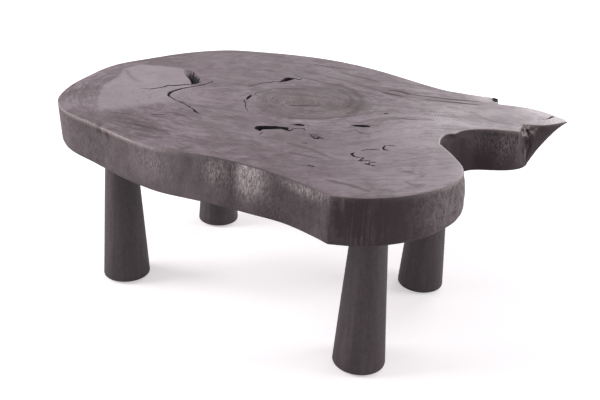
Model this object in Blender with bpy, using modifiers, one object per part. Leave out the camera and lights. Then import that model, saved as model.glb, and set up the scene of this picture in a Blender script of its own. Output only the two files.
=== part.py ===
"""Live edge coffee table: one thick crosscut slab with its natural outline, on four turned legs.

Each leg screws to the slab with a hanger bolt. The pointed end of the bolt is driven into the leg, and its
machine end turns into a flanged insert that is let into the underside of the slab. The legs stand on felt pads.
The frame is in metres, with +Z up, +X along the slab's length and the origin on the floor under the middle of
the slab's outline.
"""

import math

import bpy
import numpy as np

# Overall sizes.
TABLE_HEIGHT = 0.420
SLAB_LENGTH = 0.994
SLAB_WIDTH = 0.759
SLAB_THICKNESS = 0.084
SEAT_GAP = 0.0003  # left between any two pieces that touch

# The live edge of the slab: how its wall falls from the rim to the underside.
RIM_RADIUS = 0.003
BELLY_RADIUS = 0.005  # where the wall turns under, along the front, the notch and the back
LEFT_BELLY_RADIUS = 0.024  # the same at the rounder left end
LOBE_BELLY_RADIUS = 0.012  # and at the right end of the front lobe
LEFT_END_UNDERCUT = 0.013
LEFT_END = (-0.497, 0.000)  # middle of the left end, seen from above
LEFT_END_REACH = 0.300
LOBE_END = (0.432, -0.190)  # middle of the right end of the front lobe
LOBE_END_REACH = 0.110
LOBE_END_BULGE = 0.005  # how far that end swells out below the rim
TIP_HOLLOW = 0.75  # under 1, the wall below the tip is hollow; at 1 it falls straight
OUTLINE_STEP = 0.024  # longest straight run on the outline

# Outlines are seen from above. The third value of a point is 0 at a sharp corner and 1 where the edge runs round.
ROUND = 1.0
CORNER = 0.0

# The slab's outline, counter-clockwise from its front left shoulder, in five stretches.
FRONT_LEFT = [
    (-0.382, -0.291, ROUND),
    (-0.335, -0.322, ROUND),
    (-0.232, -0.348, ROUND),
    (-0.093, -0.376, ROUND),
    (-0.045, -0.378, ROUND),
]
# The front is hollow at the rim and runs straighter at the underside, so both outlines are drawn.
FRONT_RIM = [
    (0.033, -0.357, ROUND),
    (0.131, -0.346, ROUND),
    (0.195, -0.353, ROUND),
]
FRONT_FOOT = [
    (0.033, -0.366, ROUND),
    (0.130, -0.357, ROUND),
    (0.195, -0.353, ROUND),
]
LOBE_AND_NOTCH = [
    (0.258, -0.364, ROUND),
    (0.297, -0.375, CORNER),
    (0.339, -0.355, ROUND),
    (0.386, -0.311, ROUND),
    (0.424, -0.240, ROUND),
    (0.432, -0.178, ROUND),
    (0.420, -0.135, ROUND),
    (0.389, -0.093, ROUND),
    (0.340, -0.043, CORNER),
    (0.328, 0.004, ROUND),
    (0.331, 0.023, CORNER),
    (0.342, 0.028, CORNER),
    (0.345, 0.055, ROUND),
    (0.370, 0.086, ROUND),
]
# The broken ledge and the pointed tip overhang, so theirs are both drawn too.
TIP_RIM = [
    (0.438, 0.122, CORNER),
    (0.432, 0.150, ROUND),
    (0.430, 0.171, CORNER),
    (0.464, 0.190, ROUND),
    (0.497, 0.246, CORNER),
    (0.469, 0.270, ROUND),
    (0.407, 0.293, ROUND),
    (0.343, 0.280, CORNER),
    (0.326, 0.324, CORNER),
]
TIP_FOOT = [
    (0.428, 0.119, ROUND),
    (0.440, 0.134, ROUND),
    (0.447, 0.148, ROUND),
    (0.450, 0.163, ROUND),
    (0.449, 0.179, ROUND),
    (0.439, 0.209, ROUND),
    (0.397, 0.252, ROUND),
    (0.352, 0.278, ROUND),
    (0.320, 0.302, ROUND),
]
BACK_AND_LEFT = [
    (0.264, 0.308, ROUND),
    (0.223, 0.303, ROUND),
    (0.173, 0.315, ROUND),
    (0.125, 0.330, ROUND),
    (0.008, 0.366, ROUND),
    (-0.066, 0.379, ROUND),
    (-0.161, 0.377, ROUND),
    (-0.305, 0.334, ROUND),
    (-0.383, 0.294, ROUND),
    (-0.442, 0.211, ROUND),
    (-0.478, 0.095, ROUND),
    (-0.497, -0.001, ROUND),
    (-0.472, -0.122, ROUND),
    (-0.435, -0.217, ROUND),
]
SLAB_RIM = FRONT_LEFT + FRONT_RIM + LOBE_AND_NOTCH + TIP_RIM + BACK_AND_LEFT
SLAB_FOOT = FRONT_LEFT + FRONT_FOOT + LOBE_AND_NOTCH + TIP_FOOT + BACK_AND_LEFT

# Hollows in the upper face: an old knot and two drying checks that have opened.
HOLLOW_STEP = 0.012
KNOT_OUTLINE = [
    (-0.335, 0.052, ROUND),
    (-0.308, 0.026, ROUND),
    (-0.278, 0.000, ROUND),
    (-0.252, -0.025, ROUND),
    (-0.246, -0.010, ROUND),
    (-0.262, 0.018, ROUND),
    (-0.318, 0.066, ROUND),
]
KNOT_DEPTH = 0.030
FRONT_CHECK_OUTLINE = [
    (0.022, -0.179, ROUND),
    (0.033, -0.188, ROUND),
    (0.064, -0.158, ROUND),
    (0.078, -0.151, ROUND),
    (0.070, -0.139, ROUND),
    (0.045, -0.152, ROUND),
]
FRONT_CHECK_DEPTH = 0.018
BACK_CHECK_OUTLINE = [
    (-0.114, 0.114, ROUND),
    (-0.106, 0.120, ROUND),
    (-0.104, 0.172, ROUND),
    (-0.119, 0.169, ROUND),
    (-0.125, 0.150, ROUND),
]
BACK_CHECK_DEPTH = 0.016
HOLLOW_FLOOR = 0.45  # size of a hollow's floor as a share of its mouth

# Legs: turned, upright, wider at the floor. Their centres are drawn with the outline, and were set by eye, so no
# two stand at quite the same offset.
LEG_HEAD_DIAMETER = 0.061
LEG_FOOT_DIAMETER = 0.103
LEG_FOOT_ROUND = 0.006
LEG_HEAD_BEVEL = 0.001
LEG_SIDES = 32
LEG_CENTRES = {
    "front_left": (-0.315, -0.190),
    "front_right": (0.282, -0.189),
    "rear_left": (-0.322, 0.164),
    "rear_right": (0.256, 0.164),
}

# Hanger bolts, M10: a pointed wood screw below a plain neck, a machine screw above it.
BOLT_DIAMETER = 0.010
BOLT_NECK_DEPTH = 0.0007  # below the threads
BOLT_NECK_LENGTH = 0.008
BOLT_IN_LEG = 0.055
BOLT_IN_SLAB = 0.027
BOLT_POINT_LENGTH = 0.009
BOLT_END_BEVEL = 0.001
BOLT_SIDES = 20

# Flanged inserts for the bolts.
INSERT_WALL = 0.004
INSERT_LENGTH = 0.025
INSERT_FLANGE_WIDTH = 0.004
INSERT_FLANGE_THICKNESS = 0.002
INSERT_SIDES = 24
SOCKET_SPARE_DEPTH = 0.006  # past the insert, for the end of the bolt

# Felt pads under the legs.
PAD_INSET = 0.005  # from the edge of the foot's flat
PAD_THICKNESS = 0.003

# How finely the round shapes are drawn.
RIM_ANGLES = np.radians([0, 45])
WALL_FALLS = (0, 0.25, 0.6, 1)  # sections of the wall, as shares of its height
BELLY_ANGLES = np.radians([30, 60, 90])
FOOT_ANGLES = np.radians([0, 30, 60, 90])
SHARP_ANGLE = math.radians(35)
MERGE_DISTANCE = 0.00001

# What follows from the sizes above.
UNDERSIDE = TABLE_HEIGHT - SLAB_THICKNESS
LEG_TOP = UNDERSIDE - SEAT_GAP
LEG_BOTTOM = PAD_THICKNESS + SEAT_GAP
BOLT_RADIUS = BOLT_DIAMETER / 2
BOLT_HOLE_RADIUS = BOLT_RADIUS + SEAT_GAP
INSERT_RADIUS = BOLT_HOLE_RADIUS + INSERT_WALL
FLANGE_RADIUS = INSERT_RADIUS + INSERT_FLANGE_WIDTH
SOCKET_DEPTH = max(INSERT_LENGTH, BOLT_IN_SLAB) + SOCKET_SPARE_DEPTH
PAD_RADIUS = LEG_FOOT_DIAMETER / 2 - LEG_FOOT_ROUND - PAD_INSET


def clear_scene():
    """Remove every object, so that the script can be run again in the same file."""
    for obj in list(bpy.data.objects):
        bpy.data.objects.remove(obj, do_unlink=True)


def new_collection(name):
    collection = bpy.data.collections.new(name)
    bpy.context.scene.collection.children.link(collection)
    return collection


def new_material(name, colour, roughness, metallic=0.0):
    material = bpy.data.materials.new(name)
    material.use_nodes = True
    shader = material.node_tree.nodes["Principled BSDF"]
    shader.inputs["Base Color"].default_value = (*colour, 1.0)
    shader.inputs["Roughness"].default_value = roughness
    shader.inputs["Metallic"].default_value = metallic
    material.diffuse_color = (*colour, 1.0)
    return material


def steps_along(points, longest_step):
    """How many pieces each stretch between two points is cut into, at least two."""
    place = np.array(points)[:, :2]
    span = np.linalg.norm(np.roll(place, -1, axis=0) - place, axis=1)
    return [max(2, math.ceil(length / longest_step)) for length in span]


def closed_curve(points, steps):
    """Points along a smooth closed curve through the given ones, with straight approaches to sharp corners."""
    corners = np.array(points)
    place, bend = corners[:, :2], corners[:, 2]
    ahead = np.roll(place, -1, axis=0) - place
    span = np.linalg.norm(ahead, axis=1)
    slope = ahead / span[:, None]
    share = span / (span + np.roll(span, 1))
    speed = slope * (1 - share)[:, None] + np.roll(slope, 1, axis=0) * share[:, None]
    speed *= bend[:, None]
    curve = []
    for i, length in enumerate(span):
        follow = (i + 1) % len(span)
        t = (np.arange(steps[i]) / steps[i])[:, None]
        curve.append(
            (2 * t**3 - 3 * t**2 + 1) * place[i]
            + (t**3 - 2 * t**2 + t) * length * speed[i]
            + (3 * t**2 - 2 * t**3) * place[follow]
            + (t**3 - t**2) * length * speed[follow]
        )
    return np.concatenate(curve)


def inward(ring):
    """Unit vectors that point from a counter-clockwise ring to its inside."""
    along = np.roll(ring, -1, axis=0) - np.roll(ring, 1, axis=0)
    along /= np.linalg.norm(along, axis=1)[:, None]
    return np.stack([-along[:, 1], along[:, 0]], axis=1)


def softened(ring, rounds):
    """The ring with each point drawn towards its neighbours, a number of times."""
    for _ in range(rounds):
        ring = ring / 2 + (np.roll(ring, 1, axis=0) + np.roll(ring, -1, axis=0)) / 4
    return ring


def at_height(ring, z):
    return np.column_stack([ring, np.broadcast_to(z, len(ring))])


def loft(name, rings):
    """A closed mesh through rings of equal count, from the uppermost down, with flat ends."""
    count = len(rings[0])
    turn = np.arange(count)
    after = (turn + 1) % count
    faces = [turn.tolist(), (turn + count * (len(rings) - 1))[::-1].tolist()]
    for level in range(len(rings) - 1):
        upper, lower = level * count, (level + 1) * count
        faces += np.column_stack([upper + turn, lower + turn, lower + after, upper + after]).tolist()
    mesh = bpy.data.meshes.new(name)
    mesh.from_pydata(np.concatenate(rings).tolist(), [], faces)
    mesh.shade_smooth()
    mesh.set_sharp_from_angle(angle=SHARP_ANGLE)
    return mesh


def add_object(name, mesh, collection, material=None, location=(0, 0, 0)):
    if material and not mesh.materials:
        mesh.materials.append(material)
    obj = bpy.data.objects.new(name, mesh)
    obj.location = location
    collection.objects.link(obj)
    return obj


def turned_mesh(name, profile, closed=False):
    """A profile of (radius, height) points for a Screw modifier. It runs down the outer side."""
    mesh = bpy.data.meshes.new(name)
    edges = [(i, i + 1) for i in range(len(profile) - 1)]
    if closed:
        edges.append((len(profile) - 1, 0))
    mesh.from_pydata([(radius, 0, z) for radius, z in profile], edges, [])
    return mesh


def turn(obj, sides):
    """Turn an object's profile about its own Z axis."""
    screw = obj.modifiers.new("Turned", "SCREW")
    screw.axis = "Z"
    screw.steps = screw.render_steps = sides
    screw.use_merge_vertices = True
    screw.merge_threshold = MERGE_DISTANCE
    screw.use_smooth_shade = True
    return obj


def slab_fit():
    """The drawn outline's middle, and the scale that gives it the slab's length and width."""
    drawn = closed_curve(SLAB_RIM, steps_along(SLAB_RIM, OUTLINE_STEP))
    low, high = drawn.min(axis=0), drawn.max(axis=0)
    return (low + high) / 2, np.array([SLAB_LENGTH, SLAB_WIDTH]) / (high - low)


def on_slab(points):
    """Drawn points carried to the slab's real length and width."""
    middle, scale = slab_fit()
    return [(*((np.array(point[:2]) - middle) * scale), *point[2:]) for point in points]


def nearness(ring, place, reach):
    """1 at a place on the slab, falling to 0 well past its reach."""
    away = ring - np.array(on_slab([place])[0])
    return np.exp(-np.sum(away**2, axis=1) / reach**2)


def slab_rings():
    """Sections of the slab from its upper face to its underside.

    The rim turns over a small radius. The wall then falls to the underside's own outline, drawn in at the left
    end and far in below the tip, and a wider radius carries it under.
    """
    steps = steps_along(on_slab(SLAB_RIM), OUTLINE_STEP)
    rim = closed_curve(on_slab(SLAB_RIM), steps)
    foot = closed_curve(on_slab(SLAB_FOOT), steps)
    rim_in, foot_in = inward(softened(rim, 1)), inward(softened(foot, 2))
    left_end = nearness(rim, LEFT_END, LEFT_END_REACH)
    lobe_end = nearness(rim, LOBE_END, LOBE_END_REACH)
    foot = foot + foot_in * (LEFT_END_UNDERCUT * left_end - LOBE_END_BULGE * lobe_end)[:, None]
    belly = BELLY_RADIUS + (LEFT_BELLY_RADIUS - BELLY_RADIUS) * left_end
    belly += (LOBE_BELLY_RADIUS - BELLY_RADIUS) * lobe_end

    rings = []
    for angle in RIM_ANGLES:
        inset = RIM_RADIUS * (1 - math.sin(angle))
        depth = RIM_RADIUS * (1 - math.cos(angle))
        rings.append(at_height(rim + rim_in * inset, TABLE_HEIGHT - depth))
    wall = SLAB_THICKNESS - RIM_RADIUS - belly
    for fall in WALL_FALLS:
        section = rim + (foot - rim) * fall**TIP_HOLLOW
        rings.append(at_height(section, TABLE_HEIGHT - RIM_RADIUS - wall * fall))
    for angle in BELLY_ANGLES:
        inset = belly * (1 - math.cos(angle))
        rings.append(at_height(foot + foot_in * inset[:, None], UNDERSIDE + belly * (1 - math.sin(angle))))
    return rings


def hollow_rings(outline, depth):
    """Sections of a hollow's cutter, from above the slab down to its smaller floor."""
    mouth = closed_curve(on_slab(outline), steps_along(outline, HOLLOW_STEP))
    centre = mouth.mean(axis=0)
    floor = centre + (mouth - centre) * HOLLOW_FLOOR
    return [
        at_height(mouth, TABLE_HEIGHT + depth),
        at_height(mouth, TABLE_HEIGHT),
        at_height(floor, TABLE_HEIGHT - depth),
    ]


def leg_profile():
    """From the floor of the bolt's blind hole, up it, over the head and down the taper to the rounded foot."""
    head, foot = LEG_HEAD_DIAMETER / 2, LEG_FOOT_DIAMETER / 2
    height = LEG_TOP - LEG_BOTTOM
    hole_floor = height - BOLT_IN_LEG
    profile = [(0, hole_floor), (BOLT_HOLE_RADIUS, hole_floor), (BOLT_HOLE_RADIUS, height)]
    profile += [(head - LEG_HEAD_BEVEL, height), (head, height - LEG_HEAD_BEVEL)]
    for angle in FOOT_ANGLES:
        radius = foot - LEG_FOOT_ROUND * (1 - math.cos(angle))
        profile.append((radius, LEG_FOOT_ROUND * (1 - math.sin(angle))))
    return profile + [(0, 0)]


def bolt_profile():
    """From the machine end down past the neck to the point. Height 0 is the seam between leg and slab."""
    neck = BOLT_RADIUS - BOLT_NECK_DEPTH
    point = SEAT_GAP - BOLT_IN_LEG
    return [
        (0, BOLT_IN_SLAB),
        (BOLT_RADIUS - BOLT_END_BEVEL, BOLT_IN_SLAB),
        (BOLT_RADIUS, BOLT_IN_SLAB - BOLT_END_BEVEL),
        (BOLT_RADIUS, 0),
        (neck, -BOLT_NECK_DEPTH),
        (neck, -BOLT_NECK_LENGTH),
        (BOLT_RADIUS, -BOLT_NECK_LENGTH - BOLT_NECK_DEPTH),
        (BOLT_RADIUS, point + BOLT_POINT_LENGTH),
        (0, point),
    ]


def insert_profile():
    """A closed section, from the upper end of the sleeve down to the flange. Height 0 is the underside."""
    return [
        (BOLT_HOLE_RADIUS, INSERT_LENGTH),
        (INSERT_RADIUS, INSERT_LENGTH),
        (INSERT_RADIUS, INSERT_FLANGE_THICKNESS),
        (FLANGE_RADIUS, INSERT_FLANGE_THICKNESS),
        (FLANGE_RADIUS, 0),
        (BOLT_HOLE_RADIUS, 0),
    ]


def socket_profile():
    """The hole for an insert, grown from it by the seat gap, opening below the underside."""
    sleeve = INSERT_RADIUS + SEAT_GAP
    flange = FLANGE_RADIUS + SEAT_GAP
    flange_seat = INSERT_FLANGE_THICKNESS + SEAT_GAP
    return [
        (0, SOCKET_DEPTH),
        (sleeve, SOCKET_DEPTH),
        (sleeve, flange_seat),
        (flange, flange_seat),
        (flange, -INSERT_FLANGE_THICKNESS),
        (0, -INSERT_FLANGE_THICKNESS),
    ]


def pad_profile():
    return [(0, PAD_THICKNESS), (PAD_RADIUS, PAD_THICKNESS), (PAD_RADIUS, 0), (0, 0)]


def leg_places():
    """Each leg's name and its centre under the slab."""
    return [(name, *on_slab([centre])[0]) for name, centre in LEG_CENTRES.items()]


def add_slab(parts, cutters, wood):
    """The slab, with its hollows and the four sockets cut out of it."""
    slab = add_object("slab_top", loft("slab_top", slab_rings()), parts, wood)
    hollows = {
        "knot_cutter": (KNOT_OUTLINE, KNOT_DEPTH),
        "front_check_cutter": (FRONT_CHECK_OUTLINE, FRONT_CHECK_DEPTH),
        "back_check_cutter": (BACK_CHECK_OUTLINE, BACK_CHECK_DEPTH),
    }
    for name, (outline, depth) in hollows.items():
        add_object(name, loft(name, hollow_rings(outline, depth)), cutters)
    socket = turned_mesh("socket_cutter", socket_profile())
    for name, x, y in leg_places():
        cutter = add_object("socket_cutter_" + name, socket, cutters, location=(x, y, UNDERSIDE))
        turn(cutter, INSERT_SIDES)
    for cutter in cutters.objects:
        cutter.hide_render = True
        cutter.display_type = "WIRE"
        cut = slab.modifiers.new(cutter.name, "BOOLEAN")
        cut.operation = "DIFFERENCE"
        cut.object = cutter


def add_legs(parts, wood, steel, brass, felt):
    """Each leg with its bolt, its insert and its pad, on one upright axis."""
    leg = turned_mesh("leg", leg_profile())
    bolt = turned_mesh("bolt", bolt_profile())
    insert = turned_mesh("insert", insert_profile(), closed=True)
    pad = turned_mesh("pad", pad_profile())
    for name, x, y in leg_places():
        turn(add_object("leg_" + name, leg, parts, wood, (x, y, LEG_BOTTOM)), LEG_SIDES)
        turn(add_object("bolt_" + name, bolt, parts, steel, (x, y, LEG_TOP)), BOLT_SIDES)
        turn(add_object("insert_" + name, insert, parts, brass, (x, y, UNDERSIDE)), INSERT_SIDES)
        turn(add_object("pad_" + name, pad, parts, felt, (x, y, 0)), LEG_SIDES)


def main():
    clear_scene()
    parts = new_collection("live_edge_coffee_table")
    cutters = new_collection("cutters")
    wood = new_material("charred_wood", (0.052, 0.045, 0.046), 0.45)
    leg_wood = new_material("leg_wood", (0.040, 0.034, 0.034), 0.5)
    steel = new_material("zinc_plated_steel", (0.55, 0.55, 0.56), 0.35, 1.0)
    brass = new_material("insert_brass", (0.70, 0.52, 0.24), 0.35, 1.0)
    felt = new_material("felt", (0.030, 0.028, 0.028), 0.95)
    add_slab(parts, cutters, wood)
    add_legs(parts, leg_wood, steel, brass, felt)


main()
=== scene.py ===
import math

import bmesh
import bpy
import numpy as np
from mathutils import Matrix, Vector


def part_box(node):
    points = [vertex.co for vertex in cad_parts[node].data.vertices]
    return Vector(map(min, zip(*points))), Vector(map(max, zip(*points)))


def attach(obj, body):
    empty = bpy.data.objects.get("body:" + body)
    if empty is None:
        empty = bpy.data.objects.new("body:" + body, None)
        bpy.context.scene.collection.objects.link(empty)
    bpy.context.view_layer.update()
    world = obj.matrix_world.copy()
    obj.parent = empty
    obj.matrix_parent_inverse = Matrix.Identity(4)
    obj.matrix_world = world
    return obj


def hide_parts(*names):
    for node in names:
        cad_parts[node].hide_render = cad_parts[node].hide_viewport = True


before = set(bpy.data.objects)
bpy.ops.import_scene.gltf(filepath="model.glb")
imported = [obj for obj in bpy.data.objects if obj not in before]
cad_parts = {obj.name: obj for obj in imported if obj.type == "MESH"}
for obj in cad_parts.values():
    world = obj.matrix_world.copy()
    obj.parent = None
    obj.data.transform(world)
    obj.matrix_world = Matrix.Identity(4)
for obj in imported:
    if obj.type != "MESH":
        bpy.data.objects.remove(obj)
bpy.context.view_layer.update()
corners = ("front_left", "front_right", "rear_left", "rear_right")
mm = 0.001


# Number fields on grids

scatter = {"across": 127.1, "up": 311.7, "seed": 74.7, "size": 43758.5453}  # steps and size of a large sine


def smoothStep(t):
    # 3t^2 - 2t^3 on t held between 0 and 1
    t = np.clip(t, 0, 1)
    return t * t * (3 - 2 * t)


def valueNoise(x, y, seed=0.0):
    # a number from 0 to 1 at each whole-number corner, taken from the fraction of a large sine, and
    # blended between corners by 3t^2 - 2t^3 along x and then along y; the result runs from -1 to 1
    left, low = np.floor(x), np.floor(y)

    def corner(right, up):
        # the fraction of sin(a sum of steps) times a large size
        turn = (left + right) * scatter["across"] + (low + up) * scatter["up"] + seed * scatter["seed"]
        spin = np.sin(turn) * scatter["size"]
        return spin - np.floor(spin)

    a, b = smoothStep(x - left), smoothStep(y - low)
    nearRow = corner(0, 0) * (1 - a) + corner(1, 0) * a
    farRow = corner(0, 1) * (1 - a) + corner(1, 1) * a
    return (nearRow * (1 - b) + farRow * b) * 2 - 1


def layeredNoise(x, y, layers, seed=0.0):
    # noise summed over layers, each twice as fine and half as strong as the one before
    total = np.zeros(np.broadcast(x, y).shape)
    for layer in range(layers):
        total += valueNoise(x * 2**layer, y * 2**layer, seed + layer * 3.7) / 2**layer
    return total


def bell(x, y, place, reach):
    # exp(-(distance / reach)^2) about a place given in mm
    return np.exp(-((x / mm - place[0])**2 + (y / mm - place[1])**2) / reach**2)


def bells(x, y, rows):
    # the sum of amount times bell over rows of x, y, reach and amount
    return sum(amount * bell(x, y, (px, py), reach) for px, py, reach, amount in rows)


def nearestOnLines(x, y, lines):
    # the closest place on a set of broken lines: on each run t = (p - a).(b - a) / |b - a|^2, held to
    # 0..1, and q = a + t (b - a). The run with the least |p - q| is kept, with its width there
    best = np.full(x.shape, np.inf)
    qx, qy, width = np.zeros(x.shape), np.zeros(x.shape), np.ones(x.shape)
    for line in lines:
        for (ax, ay, aw), (bx, by, bw) in zip(line[:-1], line[1:]):
            dx, dy = bx - ax, by - ay
            t = np.clip(((x - ax) * dx + (y - ay) * dy) / (dx * dx + dy * dy), 0, 1)
            px, py = ax + t * dx, ay + t * dy
            away = np.hypot(x - px, y - py)
            closer = away < best
            best = np.where(closer, away, best)
            qx, qy = np.where(closer, px, qx), np.where(closer, py, qy)
            width = np.where(closer, aw + t * (bw - aw), width)
    return best, qx, qy, width


def plainLine(places, closed=False):
    # a broken line of even width through places, run back to its start where it is closed
    return [(px, py, 1) for px, py in places + places[:1] * closed]


def insidePolygon(x, y, outline):
    # even-odd rule: a point is inside when the line running right from it crosses an odd number of edges
    inside = np.zeros(x.shape, bool)
    for (ax, ay), (bx, by) in zip(outline, outline[1:] + outline[:1]):
        straddles = (ay > y) != (by > y)
        rise = by - ay if by != ay else 1e-9
        inside ^= straddles & (x < (bx - ax) * (y - ay) / rise + ax)
    return inside


def depthInside(x, y, outline):
    # distance to the outline, positive inside and negative outside
    away = nearestOnLines(x, y, [plainLine(outline, closed=True)])[0]
    return np.where(insidePolygon(x, y, outline), away, -away)


# Meshes from rings

def stitchRings(rings, closed=False):
    # rings of points from the top pole outwards, down and in to the bottom pole. Equal rings are joined
    # by quads, a ring of twice or half the count by three triangles for each pair, and a ring of one
    # point closes the end. Where the section is closed, the last ring joins the first
    starts = np.cumsum([0] + [len(ring) for ring in rings])
    faces = []

    def join(*sides):
        # one face for each row of corner numbers
        faces.extend(np.column_stack(sides).tolist())

    for here in range(len(rings) if closed else len(rings) - 1):
        follow = (here + 1) % len(rings)
        a, b, m, n = starts[here], starts[follow], len(rings[here]), len(rings[follow])
        count = max(m, n) if 1 in (m, n) else min(m, n)
        turn = np.arange(count)
        after = (turn + 1) % count
        if m == 1:
            join(np.full(n, a), b + turn, b + after)
        elif n == 1:
            join(a + turn, np.full(m, b), a + after)
        elif m == n:
            join(a + turn, b + turn, b + after, a + after)
        elif m < n:
            first, middle, last = b + 2 * turn, b + 2 * turn + 1, b + 2 * after
            join(a + turn, first, middle)
            join(a + turn, middle, a + after)
            join(a + after, middle, last)
        else:
            first, middle, last = a + 2 * turn, a + 2 * turn + 1, a + 2 * after
            join(first, b + turn, middle)
            join(middle, b + turn, b + after)
            join(middle, b + after, last)
    return np.concatenate(rings), faces


def turnedRings(profile, centre, sides, wobble=None):
    # x = cx + r cos a, y = cy + r sin a for each radius r and height z of a profile that runs from the
    # top pole down to the bottom one; the wobble is added to r and depends on the angle and the height
    angle = np.arange(sides) * (2 * np.pi / sides)
    rings = []
    for radius, z in profile:
        if radius == 0:
            rings.append(np.array([[*centre, z]]))
            continue
        r = radius + (wobble(angle, z, radius) if wobble else 0 * angle)
        ring = [centre[0] + r * np.cos(angle), centre[1] + r * np.sin(angle), np.full(sides, z)]
        rings.append(np.column_stack(ring))
    return rings


def addPiece(name, points, faces, material, sharpAngle, fields=None):
    # a mesh at the origin with its place in its points, and one point attribute for each field
    mesh = bpy.data.meshes.new(name)
    mesh.from_pydata(points.tolist(), [], faces)
    for field, values in (fields or {}).items():
        kind, key = ("FLOAT", "value") if values.ndim == 1 else ("FLOAT_VECTOR", "vector")
        layer = mesh.attributes.new(field, kind, "POINT")
        layer.data.foreach_set(key, values.astype(np.float32).ravel())
    mesh.shade_smooth()
    mesh.set_sharp_from_angle(angle=math.radians(sharpAngle))
    mesh.materials.append(material)
    piece = bpy.data.objects.new(name, mesh)
    bpy.context.scene.collection.objects.link(piece)
    return piece


def handOver(piece, node):
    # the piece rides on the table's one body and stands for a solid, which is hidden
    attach(piece, "root")
    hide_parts(node)


def axisOf(node):
    # the middle of a solid's box, seen from above
    low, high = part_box(node)
    return np.array((low + high)[:2]) / 2


def addTurned(names, profile, wobble, look, material, closed=False):
    # a profile turned about the axis of the solid that it stands for; gives the number of its faces. The
    # names are those of the piece, the solid and its material; the material's name is not used
    name, node, slot = names
    rings = turnedRings(profile, axisOf(node), look["sides"], wobble)
    points, faces = stitchRings(rings, closed)
    handOver(addPiece(name, points, faces, material, look["sharpAngle"]), node)
    return len(faces)


def meshPoints(mesh):
    # a mesh's points as rows of x, y and z
    points = np.empty(len(mesh.vertices) * 3, np.float32)
    mesh.vertices.foreach_get("co", points)
    return points.reshape(-1, 3).astype(float)


def meshField(mesh, name):
    # one number for each point of a mesh
    values = np.empty(len(mesh.vertices), np.float32)
    mesh.attributes[name].data.foreach_get("value", values)
    return values


# Materials

def newMaterial(name):
    # a material, its node tree and its shader
    material = bpy.data.materials.new(name)
    material.use_nodes = True
    return material, material.node_tree, material.node_tree.nodes["Principled BSDF"]


def setInputs(tree, node, values):
    # each input is linked from a socket, or set to a number or a colour
    for key, value in values.items():
        if isinstance(value, bpy.types.NodeSocket):
            tree.links.new(value, node.inputs[key])
        else:
            node.inputs[key].default_value = value


def addNode(tree, kind, values=None, **settings):
    # a node with its settings and inputs
    node = tree.nodes.new(kind)
    for setting, value in settings.items():
        setattr(node, setting, value)
    setInputs(tree, node, values or {})
    return node


def rgba(colour):
    # a plain colour at full cover; a socket stays as it is
    return colour if isinstance(colour, bpy.types.NodeSocket) else (*colour, 1.0)


def objectPlace(tree):
    # where a point lies in its own object
    return addNode(tree, "ShaderNodeTexCoord").outputs["Object"]


def pointField(tree, name, output="Fac"):
    # a field that the mesh carries at its points
    return addNode(tree, "ShaderNodeAttribute", attribute_name=name).outputs[output]


def noise(tree, place, scale, detail, roughness=0.55, distortion=0.0):
    # layered noise from 0 to 1; with a scale for each axis it runs long where that scale is small
    if isinstance(scale, tuple):
        place = addNode(tree, "ShaderNodeMapping", {"Vector": place, "Scale": scale}).outputs["Vector"]
        scale = 1.0
    values = {"Vector": place, "Scale": scale, "Detail": detail, "Roughness": roughness}
    values["Distortion"] = distortion
    return addNode(tree, "ShaderNodeTexNoise", values).outputs["Fac"]


def layers(tree, place, look, *names):
    # one noise for each name in a dictionary of looks
    return [noise(tree, place, *look[name]) for name in names]


def ranged(tree, value, low, high, toLow=0.0, toHigh=1.0):
    # a smooth step of the value between low and high, given out between toLow and toHigh
    values = {"Value": value, "From Min": low, "From Max": high, "To Min": toLow, "To Max": toHigh}
    return addNode(tree, "ShaderNodeMapRange", values, interpolation_type="SMOOTHSTEP").outputs["Result"]


def maths(tree, operation, first, second):
    # two values put together by an operation
    return addNode(tree, "ShaderNodeMath", {0: first, 1: second}, operation=operation).outputs[0]


def times(tree, first, second):
    # first times second
    return maths(tree, "MULTIPLY", first, second)


def summed(tree, weights, *values):
    # weight times value, added up
    total = None
    for weight, value in zip(weights, values):
        part = times(tree, value, weight)
        total = part if total is None else maths(tree, "ADD", total, part)
    return total


def between(tree, share, first, second):
    # first (1 - share) + second share, for plain values
    return addNode(tree, "ShaderNodeMix", {0: share, 2: first, 3: second}).outputs[0]


def mixed(tree, share, first, second, way="MIX"):
    # first (1 - share) + second share for colours, or first times second in place of second
    values = {0: share, 6: rgba(first), 7: rgba(second)}
    return addNode(tree, "ShaderNodeMix", values, data_type="RGBA", blend_type=way).outputs[2]


def ramp(tree, value, colours):
    # colours at even places from 0 to 1, blended between them
    node = addNode(tree, "ShaderNodeValToRGB", {"Fac": value})
    elements = node.color_ramp.elements
    while len(elements) < len(colours):
        elements.new(0.5)
    for element, place, colour in zip(elements, np.linspace(0, 1, len(colours)), colours):
        element.position = place
        element.color = rgba(colour)
    return node.outputs["Color"]


def bump(tree, height, distance, strength):
    # a normal tilted by the slope of a height
    values = {"Height": height, "Distance": distance, "Strength": strength}
    return addNode(tree, "ShaderNodeBump", values).outputs["Normal"]


# Slab

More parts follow.
